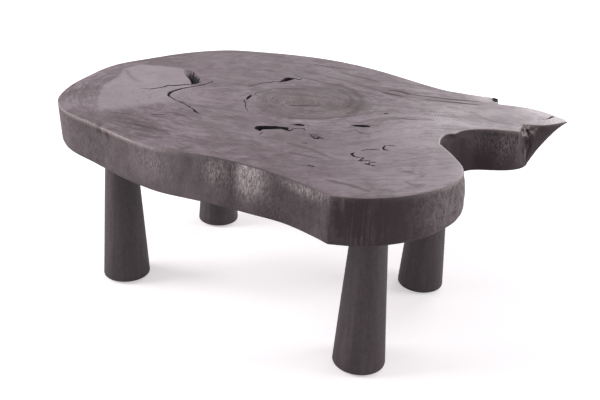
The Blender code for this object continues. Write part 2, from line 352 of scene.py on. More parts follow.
slab = {
    "pole": (0.011, 0.021),  # heart of the tree, seen from above
    "rimLevel": 0.003,  # depth below the upper face at which the solid's outline is read
    "socketReach": 0.020,  # corners of the underside this near a leg's axis belong to its socket
    "rimRadius": 0.002,
    "rimFace": (0.2, 0.4),  # the face field at the rim's head, and how much more it is at the wall
    "inwardRounds": (4, 8),  # how often rim and underside are smoothed to find which way is in
    "belly": 0.005,  # radius where the wall turns under
    "endBelly": 0.024,  # and the same at the left end and the lobe's end
    "leftEnd": ((-497, -1), 300),  # place and reach in mm
    "lobeEnd": ((432, -191), 110),
    "lobeInset": 0.010,  # how far the underside draws in there
    "notchJog": ((336, 26), 45),  # a step that only the rim shows
    "jogRounds": (14, 420),  # how often the rim and the wall below it are smoothed there
    "jogEnd": 0.14,  # share of the way down where the step has run out
    "notchFoot": [(376, 82, 34, 5.5)],  # the underside stands further out: x, y, reach, amount in mm
    "rimNick": [(-207, -355, 6, 5)],
    # place, reach and shift in mm: a blunter tip and a fuller back
    "rimShifts": [((486, 260), 15, (3.5, 7)), ((454, 280), 26, (-2.5, 4.3)), ((232, 308), 40, (-2.5, 4.3))],
    "hollowFall": 0.75,  # under 1 the wall below the tip is hollow
    "columnsPerStep": 4,  # in fours, because the columns halve twice
    "ringStep": 0.0098,  # share of the way from heart to rim
    "zoneEdges": (0.20, 0.45),  # the columns double at these shares
    "ringSmoothing": 0.25,  # how soon the rings forget the outline towards the heart
    "wallRows": 20,
    "rowCrowding": 1.3,  # over 1 the rows stand closer below the rim
    "underShares": (0.975, 0.93, 0.87, 0.80, 0.72, 0.63, 0.53, 0.43, 0.33, 0.23, 0.13, 0.05),
    "underEdges": (0.40, 0.95),
    "pull": 0.55,  # how strongly the grid is drawn to a cut
    "pullReach": 0.014,
    "rimHold": 0.05,  # share of the way in from the rim where the grid lies still
    "refineReach": (7.0, 3.6),  # mm from a cut within which edges are halved, once for each reach
    "sharpAngle": 42,
    "grainStretch": 20.0,
    "ovalWaves": 3,  # waves of the outline that the growth rings still follow
    "meander": (0.011, 0.13),  # how far the growth rings wander, over what length
    "heartBlend": 0.04,
    "cutSides": (0.5, 0.6, 1.5),  # soft edge in mm, share of the sides, half width at full depth
    "floorRough": (0.2, 4.0),  # of a hollow: share of the depth, and length in mm
    "lip": 0.4,  # mm by which a hollow's wall starts early
    "blackFade": 3,  # mm of depth over which a hollow is painted black, as char and deep shade
    "swell": (0.0004, 0.11),  # depth and length of the upper face's slow waves
    "flutes": (0.0014, 0.070),  # and of the wall's
    "ripples": (0.0005, 0.011, 0.05),  # depth, length and height of its fine ones
    "leanFrom": 417,  # mm, the height at which a leaning mark stands over its place
    "rimShare": 0.4,  # share of the wall's form at the rim
    "footShare": 0.5,  # share of it that is lost at the foot
    "formRise": 0.2,  # shares of the way down over which it comes and goes
    "formFall": 0.4,
    "lipPlace": ((350, 5), 80),  # here only the upper side of the rim is rubbed pale
    "lipWear": 0.6,
    "wallWear": (0.75, 10),  # wear at the head of the wall, and how fast it ends below
    "lumpWear": (1.3, 3),  # most wear on a broken place, and how soon a lump has it
    "lumpShade": 6,  # how much painted shade darkens the hollows between lumps
    "toneRange": (-1.9, 1.2),
    "fibreLimit": 1.3,
    "stripedPlace": ((326, -363), 34),  # of upright ribs in the wood of the wall
    "blotched": 0.1,  # how mottled the wall is
    "lively": (0.9, 0.45, 0.09),  # how the streaks stand out: mean, spread and length of their change

    # colours
    "topDark": (0.058, 0.036, 0.039),
    "topMid": (0.129, 0.0965, 0.111),
    "topPale": (0.216, 0.175, 0.197),
    "topBright": (0.290, 0.243, 0.271),
    "heartTint": (0.635, 0.575, 0.55),
    "brownTint": (1.00, 0.960, 0.962),
    "mauveTint": (1.00, 0.975, 0.99),
    "paleColour": (0.246, 0.200, 0.223),
    "paleRange": (0.80, 1.16),
    "wallDark": (0.041, 0.0295, 0.0315),
    "wallMid": (0.094, 0.075, 0.080),
    "wallPale": (0.150, 0.124, 0.130),
    "fibre": (0.450, 0.398, 0.396),
    "worn": (0.490, 0.415, 0.400),
    "underside": (0.085, 0.066, 0.058),
    # black inside the cuts: char, and painted shade of their deep insides
    "charAndDeepShade": (0.008, 0.007, 0.007),
    "scorched": (0.036, 0.026, 0.024),
    # painted shade for the wall where its tone is low, and the colour of dark streaks and spots in the wood
    "shadeAndDarkWood": (0.018, 0.009, 0.010),
    "glossTint": (1.0, 0.93, 0.99),
    "specular": 0.45,
    "topRoughness": (0.38, 0.56),
    "wallRoughness": 0.78,
    "streakRoughness": 0.95,
    "cutBlackRoughness": 0.9,
    "streakTones": (-2.8, -1.6),  # below these tones a streak is dark and matt
    "wallTones": (-1.9, -0.9),  # below these the wall goes to the dark colour: painted shade in the notch, below the tip, in nicks and between lumps
    "relief": (0.0005, 0.5),  # depth and share of the fine relief
    "ripplePlace": (0.274, 0.114, 0.420),  # a patch of fine ripples across the grain, whose sheen is painted as light and dark stripes
    "rippleReach": (0.012, 0.034),
    "rippleTurn": -0.533,
    "rippleScale": 53.0,
    "rippleSwirl": 2.0,
    "rippleShare": 0.34,

    # mixes: the weight of each noise or field, in the order in which the materials name them
    "grownMix": (0.28, 0.56, 0.48, 0.36),
    "grownMean": 0.84,
    "topMix": (1.0, 0.50, 0.30, 0.13, 1.0),
    "hueMix": (0.6, 0.4),
    "wallMix": (0.10, 0.36, 0.30, 0.16, 0.20, 0.7, 1.0),
    "glossMix": (0.35, 0.65),
    "polishMix": (0.05, 0.06),
    "topReliefMix": (0.8, 0.6, 0.35),
    "wallReliefMix": (2.0, 1.2, 0.8),

    # ranges: a value that goes from the first to the second gives 0 to 1, or the third to the fourth
    "levelRange": (0.20, 0.60),
    "brightRange": (0.54, 0.86),
    "hueRange": (0.42, 0.58),
    "poreRange": (0.60, 0.72, 0.0, 0.3),
    "wallRange": (0.275, 0.695),
    "spotRange": (0.36, 0.52, 0.70, 0.0),
    "brushRange": (0.40, 0.64),
    "sawRange": (0.35, 0.65, 0.0, 0.6),
    "rubRange": (0.36, 0.66, 0.35, 1.0),
    "burnRange": (0.38, 0.62, 0.15, 0.9),
    "tatterRange": (0.3, 0.7, -0.3, 0.3),
    "hangRange": (0.35, 0.65, -4.0, 4.0),
    "cutBlackRange": (-1.2, -0.1),  # mm inside a cut
    "glossRange": (0.35, 0.66),
    "wallFace": (0.25, 0.75),  # of the face field, as are the next two
    "underFace": (1.3, 1.7),
    "edgeFaces": ((0.10, 0.40), (0.60, 0.95, 1.0, 0.0)),  # the rim's dark edge comes in and goes

    # covers: the most of a colour that shows
    "streakCover": 0.5,
    "paleCover": 0.92,
    "brushCover": 0.85,
    "edgeCover": 0.55,

    # noise: scale or a scale for each axis, detail, roughness, swirl; the first four run on the grain
    "bands": ((42, 160, 160), 3, 0.55, 0.5),
    "streaks": ((105, 290, 290), 4, 0.6, 0.6),
    "curls": ((170, 800, 800), 3, 0.6, 1.6),
    "hair": ((640, 1100, 1100), 2, 0.6, 0.8),
    "blotches": (30, 5, 0.62, 0.5),
    "clouds": (9, 4, 0.55),
    "pores": (420, 2, 0.6),
    "strokes": ((400, 400, 130), 5, 0.7, 0.6),
    "velvet": ((850, 850, 260), 3, 0.6),
    "stripes": ((120, 120, 5), 4, 0.65),
    "mottle": (34, 4, 0.6),
    "patches": ((125, 125, 85), 5, 0.65, 0.8),
    "ribs": ((210, 210, 5), 2, 0.55),
    "saw": ((14, 420, 14), 3, 0.6),
    "rubbing": (330, 4, 0.75),
    "tatters": (260, 2, 0.6),
    "hangings": ((330, 30, 60), 3, 0.65),

    # lines that the growth rings also run round, in mm, each after the ring that it starts from
    "otherHearts": [(50, [(-170, -54, 1), (-160, -46, 1)]), (100, [(150, 90, 1), (400, 200, 1)])],

    # cuts: full depth, and a broken line of x, y and half width in mm; below 0 it only darkens the wood
    "cutLines": {
        "hollowCheck": (9, [(-254, -27, 2), (-261, -35, 2.3), (-266, -44, 2.6), (-273, -55, 2.8),
            (-287, -67, 2.2), (-286, -80, 2), (-290, -95, 1.5), (-297, -112, 1.1), (-319, -120, 0.3)]),
        "hookCheck": (9, [(-233, 23, 1.3), (-232, -1, 1), (-232, -15, 1.9), (-236, -28, 1.2),
            (-241, -42, 1.3), (-245, -54, 2), (-249, -67, 2.4), (-250, -87, 3.1), (-249, -104, 3.2),
            (-242, -118, 2.4), (-235, -125, 1.7), (-216, -134, 1), (-202, -141, 0.5), (-186, -143, 1.9),
            (-176, -147, 1.2), (-166, -152, 0.6), (-155, -156, 1.8), (-147, -160, 0.9), (-139, -163, 0.6),
            (-131, -169, 1.7), (-125, -174, 2.2), (-112, -180, 0.2)]),
        "backCheck": (5, [(-148, 43, 0.3), (-145, 56, 0.5), (-143, 69, 0.7), (-141, 85, 0.8),
            (-133, 94, 0.7), (-128, 104, 1.2), (-128, 109, 1.8), (-117, 118, 1.9)]),
        "backTail": (6, [(-102, 167, 1.2), (-98, 164, 1.7), (-93, 163, 2), (-92, 169, 1.3),
            (-93, 177, 0.4)]),
        "heartCheck": (3, [(-97, -46, 0.2), (-94, -52, 0.5), (-85, -61, 0.6), (-77, -69, 0.5),
            (-65, -88, 0.4), (-55, -97, 0.2), (-45, -107, 0)]),
        "heartRing": (1, [(-104, -6, 0.4), (-101, 0, 0.2), (-106, 9, 0.1), (-104, 21, 0.1), (-101, 38, 0),
            (-99, 52, 0.1), (-95, 63, 0), (-84, 70, -0.2), (-73, 88, -0.1), (-61, 95, 0), (-48, 103, -0.2),
            (-37, 104, -0.6)]),
        "slotTail": (6, [(78, -155, 2.4), (83, -157, 1.9), (85, -151, 1.2), (84, -144, 0.6),
            (86, -138, 0.8), (99, -128, 0.9), (104, -134, 0.4)]),
        "slotBarb": (3, [(51, -208, 0.3), (51, -203, 0.8), (50, -195, 0.3)]),
        "chipTail": (4, [(87, -109, 0.9), (91, -106, 0.4), (95, -106, 1), (97, -107, 0.4)]),
        "eyeRing": (3, [(127, -151, 0.2), (129, -145, -0.1), (134, -145, -0.1), (142, -149, 0.1),
            (148, -154, 1.5), (148, -162, 2.1), (143, -163, 1.8), (138, -160, 1.1), (132, -156, 0.5),
            (127, -151, 0.2)]),
        "eyeTail": (4, [(149, -154, 0.9), (152, -154, 2), (155, -153, 1.3)]),
        "pinHole": (6, [(179, 55, 1.4), (180, 59, 2), (182, 62, 1.2)]),
        "scratchOne": (3, [(242, -168, 0.2), (246, -156, 0.7), (255, -149, 1.2), (262, -146, 0.6),
            (265, -144, 0.2)]),
        "scratchTwo": (3, [(264, -117, 0.6), (265, -124, 1), (266, -131, 1.9), (270, -136, 1.2),
            (273, -140, 0.6)]),
        "scratchThree": (3, [(270, -134, 0.8), (275, -136, 0.8), (279, -138, 0.3)]),
        "scratchFour": (3, [(268, -113, 0.7), (273, -110, 1.1), (279, -108, 0.9)]),
        "scratchFive": (3, [(236, -184, 0.6), (235, -192, 2), (245, -201, 1.6), (253, -201, 1),
            (262, -196, 0.7)]),
        "scratchSix": (3, [(262, -196, 0.7), (261, -205, 1), (261, -213, 1.4), (266, -211, 1.6),
            (276, -203, 0.5)]),
        "scratchSeven": (3, [(277, -220, 2), (281, -217, 1.2), (280, -211, 1), (288, -202, 0.4)]),
        "scratchEight": (3, [(277, -220, 1.6), (285, -220, 1), (293, -219, 1.5)]),
        "tipCheck": (5, [(443, 223, 0), (458, 236, 0.3), (461, 248, 1.4), (462, 257, 1.8),
            (463, 265, 0.8)]),
        "frontDash": (3, [(-179, -240, 0.3), (-165, -233, 1.2), (-157, -218, 0.3)]),
        "frontPit": (3, [(203, -286, 0.8), (212, -285, 1.7)]),
        "smallPit": (2, [(138, -199, 0.3), (145, -194, 1)]),
        "heartLine": (2, [(-4, -22, 0.2), (9, -10, 0.9), (20, -2, 1), (40, 10, 0.6), (56, 22, 0.2)]),
    },

    # hollows in mm: outline, ends of a line through it, depths there, width of the wall, depth past which
    # it is painted black, as char and deep shade
    "hollows": {
        "frontSlot": {"outline": [(22, -181), (21, -174), (24, -168), (33, -160), (49, -149), (57, -147),
            (71, -141), (74, -143), (78, -153), (75, -157), (65, -157), (55, -167), (43, -179), (40, -183),
            (42, -190), (41, -193), (37, -190), (28, -188)], "from": (26, -180), "to": (74, -148),
            "depths": (18, 15), "wall": 1.8, "black": 0},
        "backHole": {"outline": [(-113, 113), (-120, 133), (-125, 155), (-121, 164), (-103, 168),
            (-105, 150), (-107, 132)], "from": (-112, 118), "to": (-112, 164), "depths": (10, 16),
            "wall": 1.8, "black": 0},
        "heartSpot": {"outline": [(-95, -44), (-102, -31), (-106, -19), (-108, -8), (-103, -10), (-97, -26),
            (-93, -41)], "from": (-95, -43), "to": (-106, -10), "depths": (7, 9), "wall": 1.4, "black": 0},
        "chip": {"outline": [(68, -122), (72, -114), (77, -109), (82, -108), (88, -109), (91, -115),
            (86, -118), (78, -121)], "from": (69, -121), "to": (90, -111), "depths": (3, 6), "wall": 1.8,
            "black": 4},
        "rightSlot": {"outline": [(160, -54), (166, -45), (175, -39), (184, -34), (192, -33), (192, -41),
            (185, -49), (176, -52), (167, -55)], "from": (161, -53), "to": (191, -37), "depths": (8, 14),
            "wall": 1.8, "black": 0},
        "stepChip": {"outline": [(321, 297), (318, 318), (328, 325), (337, 301), (336, 290), (330, 289)],
            "from": (318, 300), "to": (336, 298), "depths": (3, 6), "wall": 3, "black": 2},
    },

    # the knot hole: its far and near lips in mm, and how its floor is painted black, as char and as the
    # shade of its deep near side, across hanging fibres
    "knot": {
        "far": [(-334, 43), (-340, 55), (-338, 65), (-329, 67), (-312, 59), (-290, 42), (-270, 26),
            (-253, 12)],
        "near": [(-319, 29), (-299, 15), (-285, 5), (-270, -8), (-253, -26), (-248, -18), (-247, -7),
            (-249, 5)],
        "depths": (1.5, 30),
        "wall": 3,
        "across": (0.861, 0.508, -237),  # direction across the fibres, and its value at the middle
        "width": 13,
        "blackFrom": 0.12,  # share of the way from the far lip to the near one
        "blackRise": (0.22, 0.05),  # how fast that share grows to the left and to the right
        "blackLimit": 0.35,
        "paleEnd": (2.0, 1.5),  # widths left of the middle where the floor turns pale, and over how many
        "paleDepth": 0.15,  # share of the depth there
        "paleShare": 0.8,
        "edge": 30,  # how crisp the black's edge is
        "scorchEdge": (2.5, 0.2),
        "scorchLoss": 0.5,
    },

    # the paler layer left of the knot: its border in mm, and the side of it along which it fades out
    "paleLayer": {
        "outline": [(-262, -292), (-279, -281), (-305, -259), (-324, -240), (-357, -202), (-395, -149),
            (-409, -108), (-416, -82), (-448, -37), (-457, -9), (-451, 32), (-400, 56), (-363, 66),
            (-330, 52), (-300, 18), (-262, -20), (-215, -72), (-189, -127), (-195, -168), (-208, -214),
            (-219, -244), (-235, -270)],
        "softSide": [(-255, -296), (-235, -270), (-219, -244), (-208, -214), (-195, -168), (-189, -127),
            (-215, -72)],
        "crisp": 2.4,
        "fade": 50,
        "waver": (0.2, 60),  # of the fade: amount, and length in mm
    },

    # heartwood: its outline in mm and how far its edge blends
    "heartwood": {
        "outline": [(-60, -57), (-83, -1), (-88, 45), (-71, 90), (-39, 133), (-14, 193), (36, 181),
            (94, 138), (119, 102), (131, 39), (129, 0), (106, -40), (70, -77), (38, -99), (6, -105),
            (-27, -91)],
        "blend": 22,
        "waver": (0.25, 0.03),  # of the edge: amount, and length in metres
    },

    # pale and dark clouds on the upper face: x, y and reach in mm, and amount
    "topClouds": [(-130, -30, 26, 0.8), (-36, -283, 45, 0.3), (91, -85, 38, 0.6), (-48, 267, 40, 0.5),
        (174, 66, 45, 0.5), (310, 185, 70, -0.25), (64, -96, 9, 1.4), (54, -123, 7, 1), (250, 150, 45, 0.5),
        (287, -60, 80, 0.4), (391, -168, 45, 0.3), (224, -177, 60, 0.4), (33, -228, 50, 0.1),
        (-400, -225, 30, -0.4), (330, -230, 70, 0.6), (300, 20, 60, 0.5), (115, 55, 30, -0.6),
        (250, 60, 60, 0.6), (-190, -100, 60, 0.5), (100, 255, 80, -0.1), (230, 245, 60, -0.1),
        (-430, -120, 30, -0.3), (-249, -330, 50, -0.3), (-180, -290, 70, -0.4), (-440, 150, 50, -0.2),
        (-330, 300, 70, -0.2), (-333, -292, 32, 0.5), (-146, -337, 50, -0.5), (-95, -258, 45, 0.6),
        (87, 56, 30, -0.9), (140, -305, 45, -0.5), (322, -327, 45, 0.6), (390, -250, 40, 0.3),
        (260, -46, 50, 1), (-440, -140, 28, -0.4), (180, 230, 60, -0.2), (-466, 77, 60, -0.8),
        (292, 232, 42, -0.8), (138, -154, 10, -1.6)],

    # where the streaks of the upper face stand out or are calm, in the same way
    "livelyPlaces": [(300, 50, 90, 1), (20, 30, 110, 2.4), (-420, -150, 80, 1.2), (-180, -60, 70, -0.4),
        (-130, -300, 110, 0.7), (150, 230, 110, 0.7), (270, 130, 70, 0.6), (330, -180, 90, 0.1),
        (-60, -230, 60, -0.3)],

    # dark streaks in the wood of the upper face: strength, and a broken line of x, y and half width in mm
    "darkStreaks": [
        (1.2, [(-101, 0, 2), (-106, 9, 3), (-104, 21, 3), (-101, 38, 3), (-95, 60, 3), (-84, 70, 3),
            (-61, 95, 3), (-37, 104, 2)]),
        (1.2, [(-200, 181, 2), (-188, 183, 4), (-177, 188, 2)]),
        (1.2, [(312, 186, 2), (345, 161, 4), (372, 150, 3), (414, 157, 2)]),
        (1.2, [(-4, 190, 5), (44, 167, 6), (85, 131, 7), (108, 92, 7), (121, 40, 6), (120, -4, 4)]),
        (1.2, [(20, 150, 3), (60, 125, 4), (85, 95, 4), (98, 50, 4), (95, 10, 3)]),
        (1.2, [(44, -91, 5), (89, -58, 7), (131, -3, 4)]),
        (1.2, [(-122, 239, 3), (9, 223, 6), (137, 194, 6), (213, 208, 3)]),
        (1.2, [(-114, 186, 3), (7, 178, 5)]),
        (1.2, [(198, 44, 2), (236, 54, 4), (267, 71, 2)]),
        (1.2, [(-199, -312, 3), (-148, -308, 5), (-82, -306, 3)]),
        (1.2, [(-165, -330, 3), (-115, -318, 4)]),
        (1.2, [(-177, -222, 2), (-147, -206, 4), (-100, -216, 2)]),
        (1.2, [(118, -215, 2), (166, -217, 5), (218, -232, 2)]),
        (1.2, [(-117, -348, 3), (-73, -334, 4)]),
        (1.2, [(146, -252, 3), (199, -247, 4)]),
        (1.2, [(-280, -177, 1), (-266, -189, 2), (-249, -199, 2), (-230, -201, 1)]),
        (1.2, [(-253, -162, 1), (-262, -152, 2), (-271, -140, 2), (-273, -121, 2), (-266, -106, 1)]),
        (1.2, [(-242, -165, 1), (-219, -183, 2), (-195, -182, 1)]),
        (1.2, [(-249, -282, 2), (-221, -270, 3), (-186, -266, 3), (-161, -266, 2)]),
        (1.2, [(-189, -304, 2), (-152, -304, 3), (-117, -302, 3), (-90, -298, 2)]),
        (1.2, [(-225, -302, 2), (-193, -292, 3), (-164, -291, 2)]),
        (1.2, [(264, 185, 2), (281, 187, 3), (297, 191, 2)]),
        (2.2, [(-46, 284, 3), (-10, 278, 5), (27, 275, 5), (60, 269, 2)]),
        (3, [(111, 221, 4), (132, 227, 6), (155, 221, 5)]),
        (2.4, [(155, 221, 4), (182, 226, 4), (213, 234, 5), (245, 243, 5), (305, 267, 2)]),
        (2.4, [(107, 193, 3), (128, 192, 5), (153, 195, 2)]),
        (2.6, [(205, 206, 2), (229, 215, 4), (265, 227, 4), (313, 244, 2)]),
        (1.8, [(-135, 311, 3), (-79, 314, 5), (-44, 322, 2)]),
        (2.4, [(205, 36, 2), (224, 49, 3), (241, 61, 2)]),
        (2.4, [(256, 77, 2), (272, 79, 3)]),
        (2.2, [(-446, -26, 2), (-408, -57, 4), (-371, -79, 4), (-346, -81, 2)]),
        (1.6, [(343, -209, 3), (352, -209, 5), (362, -210, 3)]),
        (1.6, [(372, -226, 2), (376, -213, 4), (380, -200, 2)]),
        (1.6, [(366, -251, 2), (379, -256, 4), (388, -255, 4), (395, -241, 2)]),
        (2, [(261, -323, 2), (301, -319, 4), (335, -323, 2)]),
        (1.8, [(186, -78, 2), (198, -81, 4), (210, -80, 2)]),
    ],

    # round the rim: x, y in mm, how much paler or, below 0, darker the wall is, and how worn the rim is
    # below 0 the wall's tone in the notch and below the tip is painted shade; elsewhere it is darker wood
    "rimTable": [(-497, -1, 0.3, 0.2), (-472, -122, 0.3, 0.3), (-435, -217, 0.25, 0.5),
        (-382, -291, 0.2, 0.8), (-335, -322, 0.15, 0.9), (-232, -348, 0.1, 1), (-138, -372, 0.3, 1.4),
        (-62, -378, 0.55, 1), (-6, -374, 0.9, 0.3), (57, -355, 0, 0.05), (181, -349, -0.25, 0.05),
        (257, -364, -0.1, 0.2), (290, -374, -0.05, 0.5), (300, -374, -0.55, 0.3), (339, -355, -0.9, 0.05),
        (386, -311, -0.8, 0.1), (415, -265, 0.2, 0.3), (424, -240, 0.4, 0.6), (432, -178, 0.5, 0.9),
        (420, -135, 0.4, 0.8), (389, -93, -0.9, 0.9), (340, -43, -1.7, 1), (328, 4, -1.9, 1),
        (345, 55, -1.7, 0.5), (400, 102, -1.4, 0.4), (438, 122, -0.9, 0.9), (432, 150, -0.9, 1),
        (430, 171, -0.8, 1), (464, 190, -1.35, 0.1), (497, 246, -1.2, 0.3), (469, 270, 0.1, 0.4),
        (326, 324, 0.1, 0.2), (173, 315, 0.1, 0.2), (-66, 379, 0.2, 0.2), (-305, 334, 0.2, 0.3),
        (-442, 211, 0.3, 0.2)],

    # marks on the wall: x, y on the rim and z, reach along and up, lean, swell in mm, paleness, fibres
    # the paleness follows the swell: partly paler brushed wood, partly painted light on the bulges and
    # painted shade in the dents and nicks
    "wallMarks": [(-207, -355, 416, 6, 9, 0, -3.5, -3, 0), (-189, -361, 411, 4, 10, 0, -1.6, -2.4, 0),
        (17, -368, 385, 11, 55, 0.5, -1.8, -0.5, 0), (57, -355, 398, 22, 26, 0.2, 1.8, 0, 0.8),
        (96, -350, 395, 10, 34, 0.2, -2.2, -1.3, 0), (127, -346, 400, 26, 28, 0.2, 2.6, 2.8, 1.9),
        (181, -349, 365, 34, 34, 0, -2.4, -0.3, 0.1), (245, -361, 411, 45, 10, 0, 1.6, 0.2, 0.9),
        (-64, -375, 390, 45, 30, 0, 1.5, 0.1, 0.5), (-210, -354, 375, 45, 60, 0.3, -2, -0.2, 0.1),
        (-330, -324, 375, 60, 60, 0, 1.5, 0.1, 0.15), (305, -372, 375, 8, 60, 0, -1.2, 0, 0),
        (424, -240, 375, 40, 60, 0, 1, 0, 0.3), (425, -166, 385, 35, 40, 0, 2.2, 0.1, 0.5),
        (330, 0, 375, 24, 60, 0, -1.5, 0, 0.1), (424, 114, 394, 24, 34, 0.2, 1.2, 0.4, 0.5),
        (372, 82, 400, 44, 24, 0, 0, 0, 0.22)],

    # broken wall: x, y on the rim, reach, size and amount of the lumps, their lower end and how it fades
    # in mm, the share left below it, and how pale they are
    "brokenPlaces": [(431, 169, 15, 6, 4.5, 388, 20, 0.1, 1), (444, 170, 22, 9, 2.5, 340, 12, 0, 0.2),
        (-165, -365, 45, 9, 1, 411, 6, 0, 0.15)],

    # where the wall is more mottled: x, y and reach in mm, and amount
    "blotchedEnds": [(425, -205, 90, 1), (465, 195, 65, 1), (385, 75, 70, 0.5)],
}

fieldNames = ("face", "cut", "pale", "wear", "heartwood", "tone", "fibre", "lively", "scorch", "striped")
noCut = -6.0  # mm, the least that a point can lie inside a cut


def paintedRippleSheen(tree, plain, turned, look):
    # painted sheen of fine ripples: a wave about its mean, added to the colour as light and dark stripes,
    # which fades out round its place
    across = {"Vector": turned, "Scale": look["rippleScale"], "Distortion": look["rippleSwirl"]}
    waves = addNode(tree, "ShaderNodeTexWave", across).outputs["Fac"]
    ends = {0: plain, 1: look["ripplePlace"]}
    away = addNode(tree, "ShaderNodeVectorMath", ends, operation="DISTANCE").outputs["Value"]
    near = ranged(tree, away, *look["rippleReach"], look["rippleShare"], 0.0)
    return times(tree, maths(tree, "SUBTRACT", waves, 0.5), near)


def grownWood(tree, fields, plain, turned, look):
    # colour, roughness and relief of the upper face. Bands, streaks, curls and hair are noise that runs
    # long round the growth rings. Their sum less its mean, times the lively field, plus blotches, clouds,
    # the tone field and the painted sheen of fine ripples gives a depth, which picks a colour from dark to
    # bright. A far lower tone makes a dark matt streak. Tints, the pale layer and pores follow
    tone, pale = fields["tone"], fields["pale"]
    grain = pointField(tree, "grain", "Vector")
    bands, streaks, curls, hair = layers(tree, grain, look, "bands", "streaks", "curls", "hair")
    blotches, clouds, pores = layers(tree, plain, look, "blotches", "clouds", "pores")
    grown = summed(tree, look["grownMix"], bands, streaks, curls, hair)
    grown = times(tree, maths(tree, "SUBTRACT", grown, look["grownMean"]), fields["lively"])
    # painted sheen: light and dark stripes of fine ripples, put into the colour
    ripples = paintedRippleSheen(tree, plain, turned, look)
    depth = summed(tree, look["topMix"], grown, blotches, clouds, tone, ripples)
    level = ranged(tree, depth, *look["levelRange"])
    colour = ramp(tree, level, [look["topDark"], look["topMid"], look["topPale"]])
    colour = mixed(tree, ranged(tree, depth, *look["brightRange"]), colour, look["topBright"])
    streaked = ranged(tree, tone, *look["streakTones"], 1.0, 0.0)
    colour = mixed(tree, times(tree, streaked, look["streakCover"]), colour, look["shadeAndDarkWood"])
    hue = ranged(tree, summed(tree, look["hueMix"], clouds, bands), *look["hueRange"])
    tint = mixed(tree, hue, look["brownTint"], look["mauveTint"])
    colour = mixed(tree, 1.0, colour, tint, "MULTIPLY")
    colour = mixed(tree, fields["heartwood"], colour, look["heartTint"], "MULTIPLY")
    dim, bright = [[share * c for c in look["paleColour"]] for share in look["paleRange"]]
    layer = mixed(tree, level, dim, bright)
    colour = mixed(tree, times(tree, pale, look["paleCover"]), colour, layer)
    colour = mixed(tree, ranged(tree, pores, *look["poreRange"]), colour, look["topDark"])
    gloss = summed(tree, look["glossMix"], streaks, clouds)
    rough = ranged(tree, gloss, *look["glossRange"], *look["topRoughness"])
    rough = maths(tree, "SUBTRACT", rough, summed(tree, look["polishMix"], pale, tone))
    rough = between(tree, streaked, rough, look["streakRoughness"])
    return colour, rough, summed(tree, look["topReliefMix"], streaks, curls, pores)


def brushedWall(tree, fields, plain, look):
    # colour and relief of the wall. Strokes, velvet, stripes, patches and ribs are noise that runs long
    # in z, and mottle an even one. Their sum with the tone field picks a colour, under painted shade where
    # the tone is low, dark spots and brushed fibres
    tone, lively = fields["tone"], fields["lively"]
    strokes, velvet, stripes, mottle = layers(tree, plain, look, "strokes", "velvet", "stripes", "mottle")
    patches, ribs = layers(tree, plain, look, "patches", "ribs")
    patched = times(tree, maths(tree, "SUBTRACT", patches, 0.5), lively)
    ribbed = times(tree, maths(tree, "SUBTRACT", ribs, 0.5), fields["striped"])
    wood = summed(tree, look["wallMix"], stripes, mottle, velvet, strokes, tone, patched, ribbed)
    colours = [look["wallDark"], look["wallMid"], look["wallPale"]]
    colour = ramp(tree, ranged(tree, wood, *look["wallRange"]), colours)
    # painted shade: where the tone is low, as in the notch and below the tip, the wall goes dark
    colour = mixed(tree, ranged(tree, tone, *look["wallTones"], 1.0, 0.0), colour, look["shadeAndDarkWood"])
    spots = times(tree, ranged(tree, patches, *look["spotRange"]), lively)
    colour = mixed(tree, spots, colour, look["shadeAndDarkWood"])
    brushed = times(tree, ranged(tree, strokes, *look["brushRange"]), fields["fibre"])
    colour = mixed(tree, times(tree, brushed, look["brushCover"]), colour, look["fibre"])
    return colour, summed(tree, look["wallReliefMix"], strokes, velvet, stripes)


